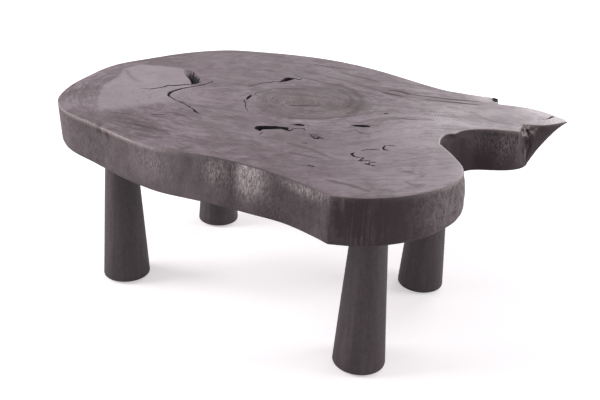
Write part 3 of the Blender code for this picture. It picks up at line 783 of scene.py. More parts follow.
def slabWood(look):
    # the face field, which is 0 on top, 1 on the wall and 2 on the underside, blends the woods of the
    # three faces. The rim's dark edge, wear, scorch and the black inside a cut, which is char and painted
    # shade, come over them
    material, tree, shader = newMaterial("slabWood")
    fields = {name: pointField(tree, name) for name in fieldNames}
    face, scorch, plain = fields["face"], fields["scorch"], objectPlace(tree)
    across = {"Vector": plain, "Rotation": (0.0, 0.0, look["rippleTurn"])}
    turned = addNode(tree, "ShaderNodeMapping", across).outputs["Vector"]
    top, rough, topRelief = grownWood(tree, fields, plain, turned, look)
    wall, wallRelief = brushedWall(tree, fields, plain, look)

    saw, rubbing, tatters = layers(tree, plain, look, "saw", "rubbing", "tatters")
    hangings = noise(tree, turned, *look["hangings"])
    onWall = ranged(tree, face, *look["wallFace"])
    colour = mixed(tree, onWall, top, wall)
    below = mixed(tree, ranged(tree, saw, *look["sawRange"]), look["underside"], look["wallDark"])
    colour = mixed(tree, ranged(tree, face, *look["underFace"]), colour, below)
    onEdge = times(tree, *(ranged(tree, face, *ends) for ends in look["edgeFaces"]))
    colour = mixed(tree, times(tree, onEdge, look["edgeCover"]), colour, look["wallDark"])
    rubbed = times(tree, fields["wear"], ranged(tree, rubbing, *look["rubRange"]))
    colour = mixed(tree, rubbed, colour, look["worn"])
    burnt = times(tree, scorch, ranged(tree, hangings, *look["burnRange"]))
    colour = mixed(tree, burnt, colour, look["scorched"])
    ragged = maths(tree, "ADD", fields["cut"], ranged(tree, tatters, *look["tatterRange"]))
    hung = times(tree, scorch, ranged(tree, hangings, *look["hangRange"]))
    # black inside the cuts: char, and painted shade of their deep insides
    blackInCuts = ranged(tree, maths(tree, "ADD", ragged, hung), *look["cutBlackRange"])
    colour = mixed(tree, blackInCuts, colour, look["charAndDeepShade"])

    rough = between(tree, onWall, rough, look["wallRoughness"])
    rough = between(tree, blackInCuts, rough, look["cutBlackRoughness"])
    normal = bump(tree, between(tree, onWall, topRelief, wallRelief), *look["relief"])
    setInputs(tree, shader, {"Base Color": colour, "Roughness": rough, "Normal": normal})
    setInputs(tree, shader, {"Specular IOR Level": look["specular"]})
    setInputs(tree, shader, {"Specular Tint": rgba(look["glossTint"])})
    return material


def levelRing(points, height, centre, leave=()):
    # corners of a solid at one height, in order of their angle about a centre, from the frontmost one on
    level = points[np.abs(points[:, 2] - height) < 1e-4][:, :2]
    ring = np.unique(np.round(level, 5), axis=0)
    for place, radius in leave:
        ring = ring[np.hypot(*(ring - place).T) > radius]
    ring = ring[np.argsort(np.arctan2(*(ring - centre).T[::-1]))]
    return np.roll(ring, -np.argmin(ring[:, 1]), axis=0)


def fineRing(ring, pieces, sharpTurn=32.0):
    # cubic Hermite curve through a closed ring, t from 0 to 1 in equal pieces between neighbours. The slope
    # at a corner is the mean of those either side, weighted by the other span, and zero at a sharp turn
    ahead = np.roll(ring, -1, axis=0) - ring
    span = np.hypot(*ahead.T)[:, None]
    slope = ahead / span
    behind = np.roll(slope, 1, axis=0)
    share = span / (span + np.roll(span, 1, axis=0))
    runsRound = (slope * behind).sum(axis=1, keepdims=True) > math.cos(math.radians(sharpTurn))
    speed = (slope * (1 - share) + behind * share) * runsRound
    t = (np.arange(pieces) / pieces)[None, :, None]
    start, end = ring[:, None], np.roll(ring, -1, axis=0)[:, None]
    leaving, arriving = (span * speed)[:, None], (span * np.roll(speed, -1, axis=0))[:, None]
    curve = (2 * t**3 - 3 * t**2 + 1) * start + (t**3 - 2 * t**2 + t) * leaving
    curve = curve + (3 * t**2 - 2 * t**3) * end + (t**3 - t**2) * arriving
    return curve.reshape(-1, 2)


def softRing(ring, rounds):
    # each point goes half way to the mean of its two neighbours, a number of times
    for _ in range(rounds):
        ring = ring / 2 + (np.roll(ring, 1, axis=0) + np.roll(ring, -1, axis=0)) / 4
    return ring


def inwardOf(ring):
    # the ring's direction turned a quarter to the left
    along = np.roll(ring, -1, axis=0) - np.roll(ring, 1, axis=0)
    along /= np.hypot(*along.T)[:, None]
    return np.stack([-along[:, 1], along[:, 0]], axis=1)


def fadingRings(values, shares, power):
    # values round the rim as a Fourier series, whose n-th wave is scaled by share^(power n) further in
    waves = np.fft.rfft(values)
    fade = shares[:, None] ** (power * np.arange(len(waves)))[None]
    return np.fft.irfft(waves[None] * fade, len(values), axis=1)


def growthRings(ring, centre, shares, power):
    # angle and radius of the outline about the heart, smoothed by fadingRings, the radius times the share
    away = ring - centre
    count = len(ring)
    angle = np.unwrap(np.arctan2(away[:, 1], away[:, 0]))
    even = angle[0] + np.arange(count) * (2 * np.pi / count)
    turned = even[None] + fadingRings(angle - even, shares, power)
    reach = shares[:, None] * fadingRings(np.hypot(*away.T), shares, power)
    return centre[0] + reach * np.cos(turned), centre[1] + reach * np.sin(turned)


def ovalLength(x, y, rim, look, steps=512):
    # distance from the heart over the outline's distance in the same direction, which keeps only its
    # slowest waves, times the outline's mean distance, with a slow meander
    centre, (wander, size) = look["pole"], look["meander"]
    away = rim - np.array(centre)
    angle = np.arctan2(away[:, 1], away[:, 0])
    order = np.argsort(angle)
    even = np.arange(steps) * (2 * np.pi / steps)
    reach = np.interp(even, angle[order] % (2 * np.pi), np.hypot(*away.T)[order], period=2 * np.pi)
    slow = np.fft.rfft(reach)
    slow[look["ovalWaves"] + 1:] = 0
    slow = np.fft.irfft(slow, steps)
    here = np.arctan2(y - centre[1], x - centre[0]) % (2 * np.pi)
    edge = np.interp(here, even, slow, period=2 * np.pi)
    length = np.hypot(x - centre[0], y - centre[1]) / edge * slow.mean()
    return length + wander * layeredNoise(x / size, y / size, 4, 6.0)


def grainLength(x, y, rim, look):
    # smooth least of the distance from the heart and of those from the other hearts, each with its start
    # added: -k ln(sum of exp(-distance / k))
    lengths = [ovalLength(x, y, rim, look)]
    for start, line in look["otherHearts"]:
        lengths.append((nearestOnLines(x / mm, y / mm, [line])[0] + start) * mm)
    blend = look["heartBlend"]
    return -blend * np.log(sum(np.exp(-length / blend) for length in lengths))


def lineCut(x, y, full, line, look):
    # steep sides to a depth that falls with the half width; a point lies inside by half width less distance
    soft, sides, wide = look["cutSides"]
    away, _, _, width = nearestOnLines(x, y, [line])
    share = smoothStep((width - away + soft) / (sides * width + soft))
    return full * share * np.minimum(1, width / wide), width - away


def hollowCut(x, y, form, look):
    # a smooth step over the wall to a floor that slopes from one end to the other and is a little rough;
    # a point counts as inside, and is painted black as char and deep shade, only where the floor is deep
    # enough
    sunk = depthInside(x, y, form["outline"])
    (ax, ay), (bx, by) = form["from"], form["to"]
    along = ((x - ax) * (bx - ax) + (y - ay) * (by - ay)) / ((bx - ax)**2 + (by - ay)**2)
    (shallow, deep), (rough, size) = form["depths"], look["floorRough"]
    floor = shallow + (deep - shallow) * smoothStep(along)
    floor = floor * (1 + rough * valueNoise(x / size, y / size, 4.0))
    inside = np.minimum(sunk, (floor - form["black"]) / look["blackFade"])
    return floor * smoothStep((sunk + look["lip"]) / form["wall"]), inside


def knotCut(x, y, form, look):
    # the floor falls by a smooth step of share = far / (far + near), the distances to the two lips. Past a
    # share that grows with the square of the way across it is painted black, as char and as the shade of
    # its deep near side. Its left end is pale and shallow
    sunk = depthInside(x, y, form["far"] + form["near"][::-1])
    far, near = [nearestOnLines(x, y, [plainLine(form[side])])[0] for side in ("far", "near")]
    share = far / (far + near + 0.01)
    ax, ay, middle = form["across"]
    across = (x * ax + y * ay - middle) / form["width"]
    start, fade = form["paleEnd"]
    paleEnd = 1 - smoothStep((across + start) / fade)
    shallow, deep = form["depths"]
    deep = deep * (1 - (1 - form["paleDepth"]) * paleEnd)
    floor = shallow + (deep - shallow) * smoothStep(share)
    rise = np.where(across < 0, *form["blackRise"])
    black = np.minimum(form["blackLimit"], form["blackFrom"] + rise * across**2)
    black = black + form["paleShare"] * paleEnd
    depth = floor * smoothStep((sunk + look["lip"]) / form["wall"])
    wide, early = form["scorchEdge"]
    scorch = smoothStep(sunk / wide + early) * (1 - form["scorchLoss"] * paleEnd)
    return depth, np.minimum(sunk, (share - black) * form["edge"]), scorch


def topCuts(x, y, look):
    # the deepest of all cuts below the face in metres, how far inside one a point lies in mm, less than
    # zero outside, and how scorched the knot hole is there
    px, py = x / mm, y / mm
    cuts = [lineCut(px, py, full, line, look) for full, line in look["cutLines"].values()]
    cuts += [hollowCut(px, py, form, look) for form in look["hollows"].values()]
    knotDepth, knotInside, scorch = knotCut(px, py, look["knot"], look)
    depths = [depth for depth, _ in cuts] + [knotDepth, bells(x, y, look["rimNick"])]
    insides = [inside for _, inside in cuts] + [knotInside]
    inside = np.clip(np.maximum.reduce(insides), noCut, -noCut)
    return np.maximum.reduce(depths) * mm, inside, scorch


def topTone(x, y, look):
    # placed clouds, each a bell, less the dark streaks, which fall off as exp(-(distance / half width)^2)
    tone = bells(x, y, look["topClouds"])
    for strength, line in look["darkStreaks"]:
        away, _, _, width = nearestOnLines(x / mm, y / mm, [line])
        tone = tone - strength * np.exp(-(away / width)**2)
    return tone


def paleShare(x, y, form):
    # 1 inside the border, over a crisp edge, times a slow rise with the distance from the soft side
    x, y = x / mm, y / mm
    border = smoothStep(depthInside(x, y, form["outline"]) / form["crisp"] + 0.5)
    away = nearestOnLines(x, y, [plainLine(form["softSide"])])[0]
    amount, size = form["waver"]
    return border * smoothStep(away / form["fade"] + amount * layeredNoise(x / size, y / size, 3, 2.0))


def heartShare(x, y, form):
    # a smooth step over the outline's blend, with a little noise in the edge
    zone = depthInside(x / mm, y / mm, form["outline"]) / form["blend"]
    amount, size = form["waver"]
    return smoothStep(zone + 0.5 + amount * layeredNoise(x / size, y / size, 2, 9.0))


def livelyShare(x, y, look):
    # a slow noise about its mean, plus the placed bells
    mean, spread, size = look["lively"]
    return mean + spread * layeredNoise(x / size, y / size, 2, 12.0) + bells(x, y, look["livelyPlaces"])


def nearestOf(rim, px, py):
    # the number of the rim's point that is nearest to a place in mm
    return np.argmin(np.hypot(rim[:, 0] / mm - px, rim[:, 1] / mm - py))


def onRim(edge, rows, column):
    # a column of the rim's table, blended linearly along the rim and round past its start
    places = [edge["around"][nearestOf(edge["rim"], *row[:2])] for row in rows]
    return np.interp(edge["around"], places, [row[column] for row in rows], period=edge["length"])


def wallForm(edge, z, look):
    # how far the wall stands out, how pale it is, how brushed and how lumpy, at one height: slow flutes
    # of noise, the placed marks, each a bell along the rim and up whose middle leans with the height, and
    # the broken places, whose lumps are noise on the way round and the height
    rim, around, length = edge["rim"], edge["around"], edge["length"]
    x, y = rim.T
    (deep, size), (fineDeep, fineSize, tallSize) = look["flutes"], look["ripples"]
    out = deep * layeredNoise(x / size, y / size, 3, 5.0)
    out = out + fineDeep * valueNoise(around / fineSize, z / tallSize, 8.0)
    tone, fibre, lumps = np.zeros((3, len(rim)))
    # a mark's paleness is partly painted light on its bulge and painted shade in its dent
    for px, py, pz, reach, tall, lean, swell, pale, brush in look["wallMarks"]:
        along = (around - around[nearestOf(rim, px, py)] + length / 2) % length - length / 2
        along = along / mm + lean * (look["leanFrom"] - z / mm)
        mark = np.exp(-(along / reach)**2 - ((z / mm - pz) / tall)**2)
        out, tone, fibre = out + swell * mm * mark, tone + pale * mark, fibre + brush * mark
    for px, py, reach, size, amount, low, fade, below, pale in look["brokenPlaces"]:
        share = bell(x, y, (px, py), reach) * np.maximum(below, smoothStep((z / mm - low) / fade))
        grain = layeredNoise(around / (size * mm), z / (size * mm), 2, 1.0) * share
        out, lumps = out + amount * mm * grain, lumps + pale * grain
    return out, tone, np.minimum(fibre, look["fibreLimit"]), lumps


def slabEdges(look):
    # the solid's own rim and underside outlines, drawn finer, and the wall's head and foot between them.
    # Bells blend in the notch's smoothed step and its foot, the shifts of the rim and the rounder ends
    low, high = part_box("slab_top")
    points = meshPoints(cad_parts["slab_top"].data)
    sockets = [(axisOf("leg_" + corner), look["socketReach"]) for corner in corners]
    rim = levelRing(points, high.z - look["rimLevel"], look["pole"])
    foot = levelRing(points, low.z, look["pole"], sockets)
    print("slab outline:", len(rim), "corners at the rim,", len(foot), "at the underside")
    rim, foot = fineRing(rim, look["columnsPerStep"]), fineRing(foot, look["columnsPerStep"])

    rimRounds, wallRounds = look["jogRounds"]
    jog = bell(*rim.T, *look["notchJog"])[:, None]
    rim = rim + (softRing(rim, rimRounds) - rim) * jog
    shifts = [bell(*rim.T, place, reach)[:, None] * shift for place, reach, shift in look["rimShifts"]]
    rim = rim + sum(shifts) * mm
    rimIn, footIn = (inwardOf(softRing(*pair)) for pair in zip((rim, foot), look["inwardRounds"]))
    step = np.hypot(*(np.roll(rim, -1, axis=0) - rim).T)
    around = np.concatenate([[0], np.cumsum(step)[:-1]])

    atLeft, atLobe = bell(*rim.T, *look["leftEnd"]), bell(*rim.T, *look["lobeEnd"])
    belly = look["belly"] + (look["endBelly"] - look["belly"]) * (atLeft + atLobe)
    standOut = bells(*rim.T, look["notchFoot"]) * mm
    foot = foot + (softRing(foot, wallRounds) - foot) * jog
    foot = foot + footIn * (look["lobeInset"] * atLobe - standOut)[:, None]
    edge = {"rim": rim, "rimIn": rimIn, "foot": foot, "footIn": footIn, "belly": belly, "around": around,
            "length": around[-1] + step[-1], "bottom": low.z, "top": high.z}
    edge["wallTop"] = rim + (softRing(rim, wallRounds) - rim) * jog
    edge["wallFoot"] = foot - footIn * belly[:, None]
    # the rim's tone column holds painted shade in the notch and below the tip
    edge["tone"], edge["wear"] = (onRim(edge, look["rimTable"], column) for column in (2, 3))
    edge["inNotch"] = np.minimum(1, 2 * bell(*rim.T, *look["lipPlace"]))
    return edge


def addRing(stack, ring, grain, **given):
    # a ring of points with its grain and other fields, which are 0 where not given, and noCut for the cut
    stack["rings"].append(ring)
    stack["grain"].append(grain)
    for name in fieldNames:
        value = given.get(name, noCut if name == "cut" else 0.0)
        stack[name].append(np.broadcast_to(np.asarray(value, float), len(ring)))


def grainOf(length, places, look):
    # how far out in the growth rings, and the place divided by the stretch
    return np.column_stack([np.broadcast_to(length, len(places)), places / look["grainStretch"]])


def thinned(share, edges):
    # every fourth column near the heart, every second one further out, and all of them near the rim
    inner, outer = edges
    return slice(None, None, 4 if share < inner else 2 if share < outer else 1)


def addUpperFace(stack, edge, lines, look):
    # growth rings from the heart to the start of the rim's round, drawn to the cuts by pull
    # exp(-(distance / reach)^2), with slow waves that only sink; gives the last ring and how far out in
    # the growth rings it lies
    pole, top = np.array(look["pole"]), edge["top"]
    shares = np.arange(1.0, look["ringStep"] * 1.5, -look["ringStep"])[::-1]
    x, y = growthRings(edge["rim"] + edge["rimIn"] * look["rimRadius"], pole, shares, look["ringSmoothing"])
    away, qx, qy, _ = nearestOnLines(x / mm, y / mm, lines)
    hold = smoothStep((1 - shares[:, None]) / look["rimHold"])  # none at the rim
    pull = look["pull"] * hold * np.exp(-(away * mm / look["pullReach"])**2)
    x, y = x + (qx * mm - x) * pull, y + (qy * mm - y) * pull
    swell, size = look["swell"]
    z = top + np.minimum(swell * layeredNoise(x / size, y / size, 2, 3.0), 0) * hold
    length = grainLength(x, y, edge["rim"], look)
    addRing(stack, np.array([[*pole, top]]), grainOf(0, pole[None], look))
    for row, share in enumerate(shares):
        pick = (row, thinned(share, look["zoneEdges"]))
        ring = np.column_stack([x[pick], y[pick], z[pick]])
        wear = look["lipWear"] * edge["wear"] * edge["inNotch"] if row == len(shares) - 1 else 0
        addRing(stack, ring, grainOf(length[pick], ring[:, :2], look), wear=wear)
    return ring, length[-1]


def addRim(stack, edge, last, grain, look):
    # a quarter round of radius r: in from the rim by r (1 - sin a) and down by r (1 - cos a), with a
    # share of the wall's form, sunk by the cuts that reach it
    top, radius, (start, more) = edge["top"], look["rimRadius"], look["rimFace"]
    out = wallForm(edge, top - radius, look)[0] * look["rimShare"]
    drop, inside, _ = topCuts(last[:, 0], last[:, 1], look)
    for angle in np.radians((30, 60)):
        low, flat = math.sin(angle), math.cos(angle)
        place = edge["rim"] + edge["rimIn"] * (radius * (1 - low) - out * low)[:, None]
        height = top - radius * (1 - flat) - drop * flat
        worn = edge["wear"] * (low + (flat - low) * edge["inNotch"])
        addRing(stack, np.column_stack([place, height]), grain, face=start + more * low, wear=worn,
                tone=edge["tone"], cut=inside)


def addWall(stack, edge, grain, look):
    # each row lies at a share of the way from the wall's head to its foot, to the power of the hollow fall,
    # and stands out by the wall's form, which is weaker at both ends. A quarter round turns it under
    rim, foot, belly = edge["rim"], edge["foot"], edge["belly"]
    top, bottom = edge["top"] - look["rimRadius"], edge["bottom"]
    bare = edge["wear"] * (1 - edge["inNotch"])
    striped = bell(*rim.T, *look["stripedPlace"])
    blotched = look["blotched"] + bells(*rim.T, look["blotchedEnds"])
    (wearStart, wearFall), (most, lumpRise) = look["wallWear"], look["lumpWear"]
    least, rise, fall = look["rimShare"], look["formRise"], look["formFall"]
    for down in np.linspace(0, 1, look["wallRows"])**look["rowCrowding"]:
        start = rim + (edge["wallTop"] - rim) * smoothStep(down / look["jogEnd"])
        place = start + (edge["wallFoot"] - start) * down**look["hollowFall"]
        height = top - (top - bottom - belly) * down
        out, markTone, fibre, lumps = wallForm(edge, height, look)
        keep = least + (1 - least) * smoothStep(down / rise)
        keep = keep * (1 - look["footShare"] * smoothStep((down - 1 + fall) / fall))
        place = place - edge["rimIn"] * (out * keep)[:, None]
        rubbed = bare * max(0, wearStart - down * wearFall)
        wear = np.maximum(rubbed, most * smoothStep(lumps * lumpRise))
        # painted shade: the tone drops in the hollows between lumps
        tone = edge["tone"] + markTone + look["lumpShade"] * np.minimum(lumps, 0)
        tone = np.clip(tone, *look["toneRange"])
        addRing(stack, np.column_stack([place, height]), grain, face=1, wear=wear, tone=tone, fibre=fibre,
                lively=blotched, striped=striped)
    for angle in np.radians((18, 36, 54, 72, 90)):
        low, flat = math.sin(angle), math.cos(angle)
        place = foot - edge["footIn"] * (belly * flat + look["footShare"] * out * flat)[:, None]
        height = bottom + belly * (1 - low)
        addRing(stack, np.column_stack([place, height]), grain, face=1, tone=tone * flat)


def addUnderside(stack, edge, look):
    # flat rings back to the point below the heart
    pole, bottom, shares = np.array(look["pole"]), edge["bottom"], np.array(look["underShares"])
    x, y = growthRings(edge["foot"], pole, shares, look["ringSmoothing"])
    for row, share in enumerate(shares):
        pick = (row, thinned(share, look["underEdges"]))
        ring = np.column_stack([x[pick], y[pick], np.full(x[pick].shape, bottom)])
        addRing(stack, ring, grainOf(share, ring[:, :2], look), face=2)
    addRing(stack, np.array([[*pole, bottom]]), grainOf(0, pole[None], look), face=2)


def onUpperFace(mesh):
    # the points whose face field is 0
    return meshField(mesh, "face") < 0.01


def refineTop(piece, lines, reaches):
    # every edge of the upper face with both ends within reach of a cut is halved, once for each reach
    for reach in reaches:
        points = meshPoints(piece.data)
        near = nearestOnLines(points[:, 0] / mm, points[:, 1] / mm, lines)[0] < reach
        near &= onUpperFace(piece.data)
        ends = np.empty(len(piece.data.edges) * 2, np.int32)
        piece.data.edges.foreach_get("vertices", ends)
        chosen = np.flatnonzero(near[ends].reshape(-1, 2).all(axis=1))
        grid = bmesh.new()
        grid.from_mesh(piece.data)
        grid.edges.ensure_lookup_table()
        bmesh.ops.subdivide_edges(grid, edges=[grid.edges[i] for i in chosen], cuts=1, use_grid_fill=True)
        grid.to_mesh(piece.data)
        grid.free()


def sinkTop(piece, look):
    # the upper face goes down by the depth of its cuts, and takes its fields at every point
    mesh = piece.data
    points = meshPoints(mesh)
    onTop = onUpperFace(mesh)
    x, y = points[onTop, 0], points[onTop, 1]
    sunk, inside, scorch = topCuts(x, y, look)
    points[onTop, 2] -= sunk
    mesh.vertices.foreach_set("co", points.astype(np.float32).ravel())
    taken = {"cut": inside, "scorch": scorch, "tone": topTone(x, y, look)}
    taken["lively"] = livelyShare(x, y, look)
    taken["heartwood"] = heartShare(x, y, look["heartwood"])
    taken["pale"] = paleShare(x, y, look["paleLayer"])
    for name, values in taken.items():
        field = meshField(mesh, name)
        field[onTop] = values
        mesh.attributes[name].data.foreach_set("value", field)
    mesh.update()


def makeSlab(look):
    # one closed stack of rings from the heart over the rim and the wall to the underside. Then the grid
    # is made finer near the cuts, the cuts are sunk and the sockets are taken out
    edge, knot = slabEdges(look), look["knot"]
    outlines = [form["outline"] for form in look["hollows"].values()] + [knot["far"] + knot["near"][::-1]]
    lines = [line for _, line in look["cutLines"].values()]
    lines += [plainLine(outline, closed=True) for outline in outlines]
    stack = {name: [] for name in ("rings", "grain") + fieldNames}
    last, length = addUpperFace(stack, edge, lines, look)
    grain = grainOf(length, edge["rim"], look)
    addRim(stack, edge, last, grain, look)
    addWall(stack, edge, grain, look)
    addUnderside(stack, edge, look)
    mesh = stitchRings(stack.pop("rings"))
    fields = {name: np.concatenate(rows) for name, rows in stack.items()}
    piece = addPiece("liveEdgeSlab", *mesh, slabWood(look), look["sharpAngle"], fields)
    refineTop(piece, lines, look["refineReach"])
    sinkTop(piece, look)
    cutSockets(piece, edge["bottom"], insert)
    handOver(piece, "slab_top")
    points, faces = len(piece.data.vertices), len(piece.data.polygons)
    print("slab:", points, "points,", faces, "faces,", len(last), "columns at the rim")


# Legs

leg = {
    "headRadius": 0.0305,
    "footRadius": 0.0515,
    "footRound": 0.006,
    "headBevel": 0.001,
    "holeRadius": 0.0053,
    "holeDepth": 0.055,
    "sides": 96,
    "taperRows": 60,
    "sharpAngle": 40,
    "outOfRound": 0.0007,
    "thirdLobe": 0.6,  # strength of the three lobes beside the two
    "lobeDrift": 9,  # radians for each metre of height
    "fluteDepth": 0.00035,
    "fluteLength": 0.09,
    "fluteSteps": 7,  # for each radian round the leg
    "seamBlend": 0.3,  # radians from the seam over which the flutes fade
    "dark": (0.028, 0.0195, 0.0215),
    "light": (0.074, 0.0555, 0.0595),
    "brown": (0.069, 0.048, 0.046),
    "roughness": (0.46, 0.62),
    "specular": 0.65,
    "relief": (0.0004, 0.5),
    "toneMix": (0.42, 0.30, 0.28),  # weights of bands, streaks and mottle
    "reliefMix": (0.8, 0.5, 0.6),  # and of streaks, pores and mottle
    "toneRange": (0.36, 0.66),  # ranges as for the slab
    "pitRange": (0.30, 0.44, 0.55, 0.0),
    "brownRange": (0.56, 0.72, 0.0, 0.45),
    "poreRange": (0.58, 0.72, 0.0, 0.5),
    "roughRange": (0.3, 0.7),
    "streaks": ((190, 190, 7), 5, 0.65),  # noise: a scale for each axis, detail, roughness
    "bands": ((42, 42, 2.5), 3, 0.6),
    "pores": ((700, 700, 40), 2, 0.6),
    "mottle": ((150, 150, 95), 5, 0.7),
}


def legWood(look):
    # noise on Object coordinates that are squeezed in z, so that the streaks run up the leg, under pits
    # and stains of an even noise
    material, tree, shader = newMaterial("legWood")
    where = objectPlace(tree)
    streaks, bands, pores, mottle = layers(tree, where, look, "streaks", "bands", "pores", "mottle")
    tone = summed(tree, look["toneMix"], bands, streaks, mottle)
    colour = mixed(tree, ranged(tree, tone, *look["toneRange"]), look["dark"], look["light"])
    colour = mixed(tree, ranged(tree, mottle, *look["pitRange"]), colour, look["dark"])
    colour = mixed(tree, ranged(tree, bands, *look["brownRange"]), colour, look["brown"])
    colour = mixed(tree, ranged(tree, pores, *look["poreRange"]), colour, look["dark"])
    rough = ranged(tree, streaks, *look["roughRange"], *look["roughness"])
    normal = bump(tree, summed(tree, look["reliefMix"], streaks, pores, mottle), *look["relief"])
    setInputs(tree, shader, {"Base Color": colour, "Roughness": rough, "Normal": normal})
    setInputs(tree, shader, {"Specular IOR Level": look["specular"]})
    return material


def makeLegs(look):
    # a hole, a head, a straight taper and a quarter round at the foot, turned
    material = legWood(look)
    head, foot, hole, turnIn = look["headRadius"], look["footRadius"], look["holeRadius"], look["footRound"]
    lobes = 1 + look["thirdLobe"]
    for number, corner in enumerate(corners):
        low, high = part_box("leg_" + corner)
        bottom, top = low.z, high.z
        holeFloor, shoulder, heel = top - look["holeDepth"], top - look["headBevel"], bottom + turnIn

        def wobble(angle, z, radius):
            # two slow lobes, three that drift with the height, and fine flutes; none in the hole
            if radius < head * 0.8 or z >= shoulder:
                return 0 * angle
            drift = 2 * number + z * look["lobeDrift"]
            slow = np.sin(2 * angle + number) + look["thirdLobe"] * np.sin(3 * angle + drift)
            level = np.full_like(angle, z / look["fluteLength"])
            fine = valueNoise(angle * look["fluteSteps"], level, number)
            fine = fine * smoothStep(np.minimum(angle, 2 * np.pi - angle) / look["seamBlend"])
            return -look["outOfRound"] * (lobes - slow) / (2 * lobes) + look["fluteDepth"] * (fine - 1) / 2

        profile = [(0, holeFloor), (hole, holeFloor), (hole, top), (head * 0.6, top)]
        profile += [(head - look["headBevel"], top), (head, shoulder)]
        down = np.linspace(0, 1, look["taperRows"])[1:]
        profile += [(head + (foot - head) * t, shoulder + (heel - shoulder) * t) for t in down]
        for a in np.radians((22.5, 45, 67.5, 90)):
            profile.append((foot - turnIn * (1 - math.cos(a)), heel - turnIn * math.sin(a)))
        profile += [(foot * 0.5, bottom), (0, bottom)]
        names = ("turnedLeg_" + corner, "leg_" + corner, "leg_wood")
        faces = addTurned(names, profile, wobble, look, material)
    print("legs:", len(corners), "turned,", faces, "faces each")


# Pads

pad = {
    "edgeRound": 0.0011,
    "fuzz": 0.00015,
    "fuzzWaves": (17, 4000),  # waves round the edge, and their drift for each metre of height
    "sides": 72,
    "sharpAngle": 50,
    "darkWool": (0.012, 0.011, 0.011),
    "paleWool": (0.055, 0.051, 0.050),
    "roughness": 0.95,
    "sheen": 0.3,
    "relief": (0.0006, 0.8),
    "fibres": (1400.0, 4.0, 0.7, 1.5),  # noise: scale, detail, roughness, swirl
    "tufts": (260.0, 3.0),
    "woolMix": (0.6, 0.4),  # weights of the two
    "woolRange": (0.35, 0.65),
}


def feltFibre(look):
    # short crossed fibres: a fine noise over a coarser one, on dark wool
    material, tree, shader = newMaterial("feltFibre")
    where = objectPlace(tree)
    fibres, tufts = layers(tree, where, look, "fibres", "tufts")
    tone = summed(tree, look["woolMix"], fibres, tufts)
    colour = mixed(tree, ranged(tree, tone, *look["woolRange"]), look["darkWool"], look["paleWool"])
    setInputs(tree, shader, {"Base Color": colour, "Normal": bump(tree, tone, *look["relief"])})
    setInputs(tree, shader, {"Roughness": look["roughness"], "Sheen Weight": look["sheen"]})
    return material


def makePads(look):
    # a disc with a quarter round above and below, turned
    material, soft = feltFibre(look), look["edgeRound"]
    waves, drift = look["fuzzWaves"]
    for number, corner in enumerate(corners):
        low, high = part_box("pad_" + corner)
        radius = (high.x - low.x) / 2

        def wobble(angle, z, ringRadius):
            # the edge stands in by a wave round it that drifts with the height
            wave = (np.sin(angle * waves + z * drift + number) - 1) / 2
            return look["fuzz"] * wave * (ringRadius > radius * 0.9)

        profile = [(0, high.z), (radius * 0.5, high.z), (radius - soft, high.z)]
        for a in np.radians((30, 60, 90)):
            profile.append((radius - soft * (1 - math.sin(a)), high.z - soft * (1 - math.cos(a))))
        for a in np.radians((0, 30, 60, 90)):
            profile.append((radius - soft * (1 - math.cos(a)), low.z + soft * (1 - math.sin(a))))
        profile += [(radius * 0.5, low.z), (0, low.z)]
        names = ("feltPad_" + corner, "pad_" + corner, "pad_felt")
        faces = addTurned(names, profile, wobble, look, material)
    print("pads:", len(corners), "with", faces, "faces each")


# Bolts

# a thread's crest is in pitches, its rows are for each turn
machineThread = {"pitch": 0.0015, "depth": 0.0008, "crest": 0.5, "rows": 8}

bolt = {
    "machine": machineThread,
    "wood": {"pitch": 0.0036, "depth": 0.0013, "crest": 0.30, "rows": 16},
    "neck": 0.008,
    "neckDepth": 0.0007,
    "neckSpare": 0.0008,  # how far below the neck the thread starts
    "point": 0.009,
    "pointRadius": 0.0003,  # under which the point has no thread
    "bevel": 0.001,
    "runOuts": (0.0015, 0.001, 0.003),  # where threads fade: top, above the seam, below the neck
    "sides": 40,
    "sharpAngle": 35,
    "bright": (0.62, 0.62, 0.64),
    "dull": (0.44, 0.44, 0.45),
    "roughness": (0.25, 0.42),
}


# noise: scale and detail; then the range of each, and depth and share of the relief
plating = {
    "clouds": (90.0, 3.0),
    "grit": (900.0, 2.0),
    "cloudRange": (0.35, 0.65),
    "gritRange": (0.3, 0.7),
    "relief": (0.00005, 0.4),
}


def platedMetal(name, look):
    # metal whose colour and roughness shift with a slow and a fine noise, as plating does
    material, tree, shader = newMaterial(name)
    where = objectPlace(tree)
    clouds, grit = layers(tree, where, plating, "clouds", "grit")
    colour = mixed(tree, ranged(tree, clouds, *plating["cloudRange"]), look["dull"], look["bright"])
    rough = ranged(tree, grit, *plating["gritRange"], *look["roughness"])
    normal = bump(tree, grit, *plating["relief"])
    setInputs(tree, shader, {"Base Color": colour, "Roughness": rough, "Normal": normal, "Metallic": 1.0})
    return material


def threadRows(high, low, thread):
    # even heights from high to low, a number for each turn
    count = int(round((high - low) / thread["pitch"] * thread["rows"]))
    return np.linspace(high, low, max(2, count))


def threadCut(angle, z, thread):
    # depth times 1 - ridge: the place within a turn is the fraction of z / pitch - angle / 2 pi, and the
    # ridge falls from 1 in a straight line either side of the middle
    turn = z / thread["pitch"] - angle / (2 * np.pi)
    ridge = np.clip(1 - np.abs(turn - np.floor(turn) - 0.5) / thread["crest"], 0, 1)
    return thread["depth"] * (1 - ridge)


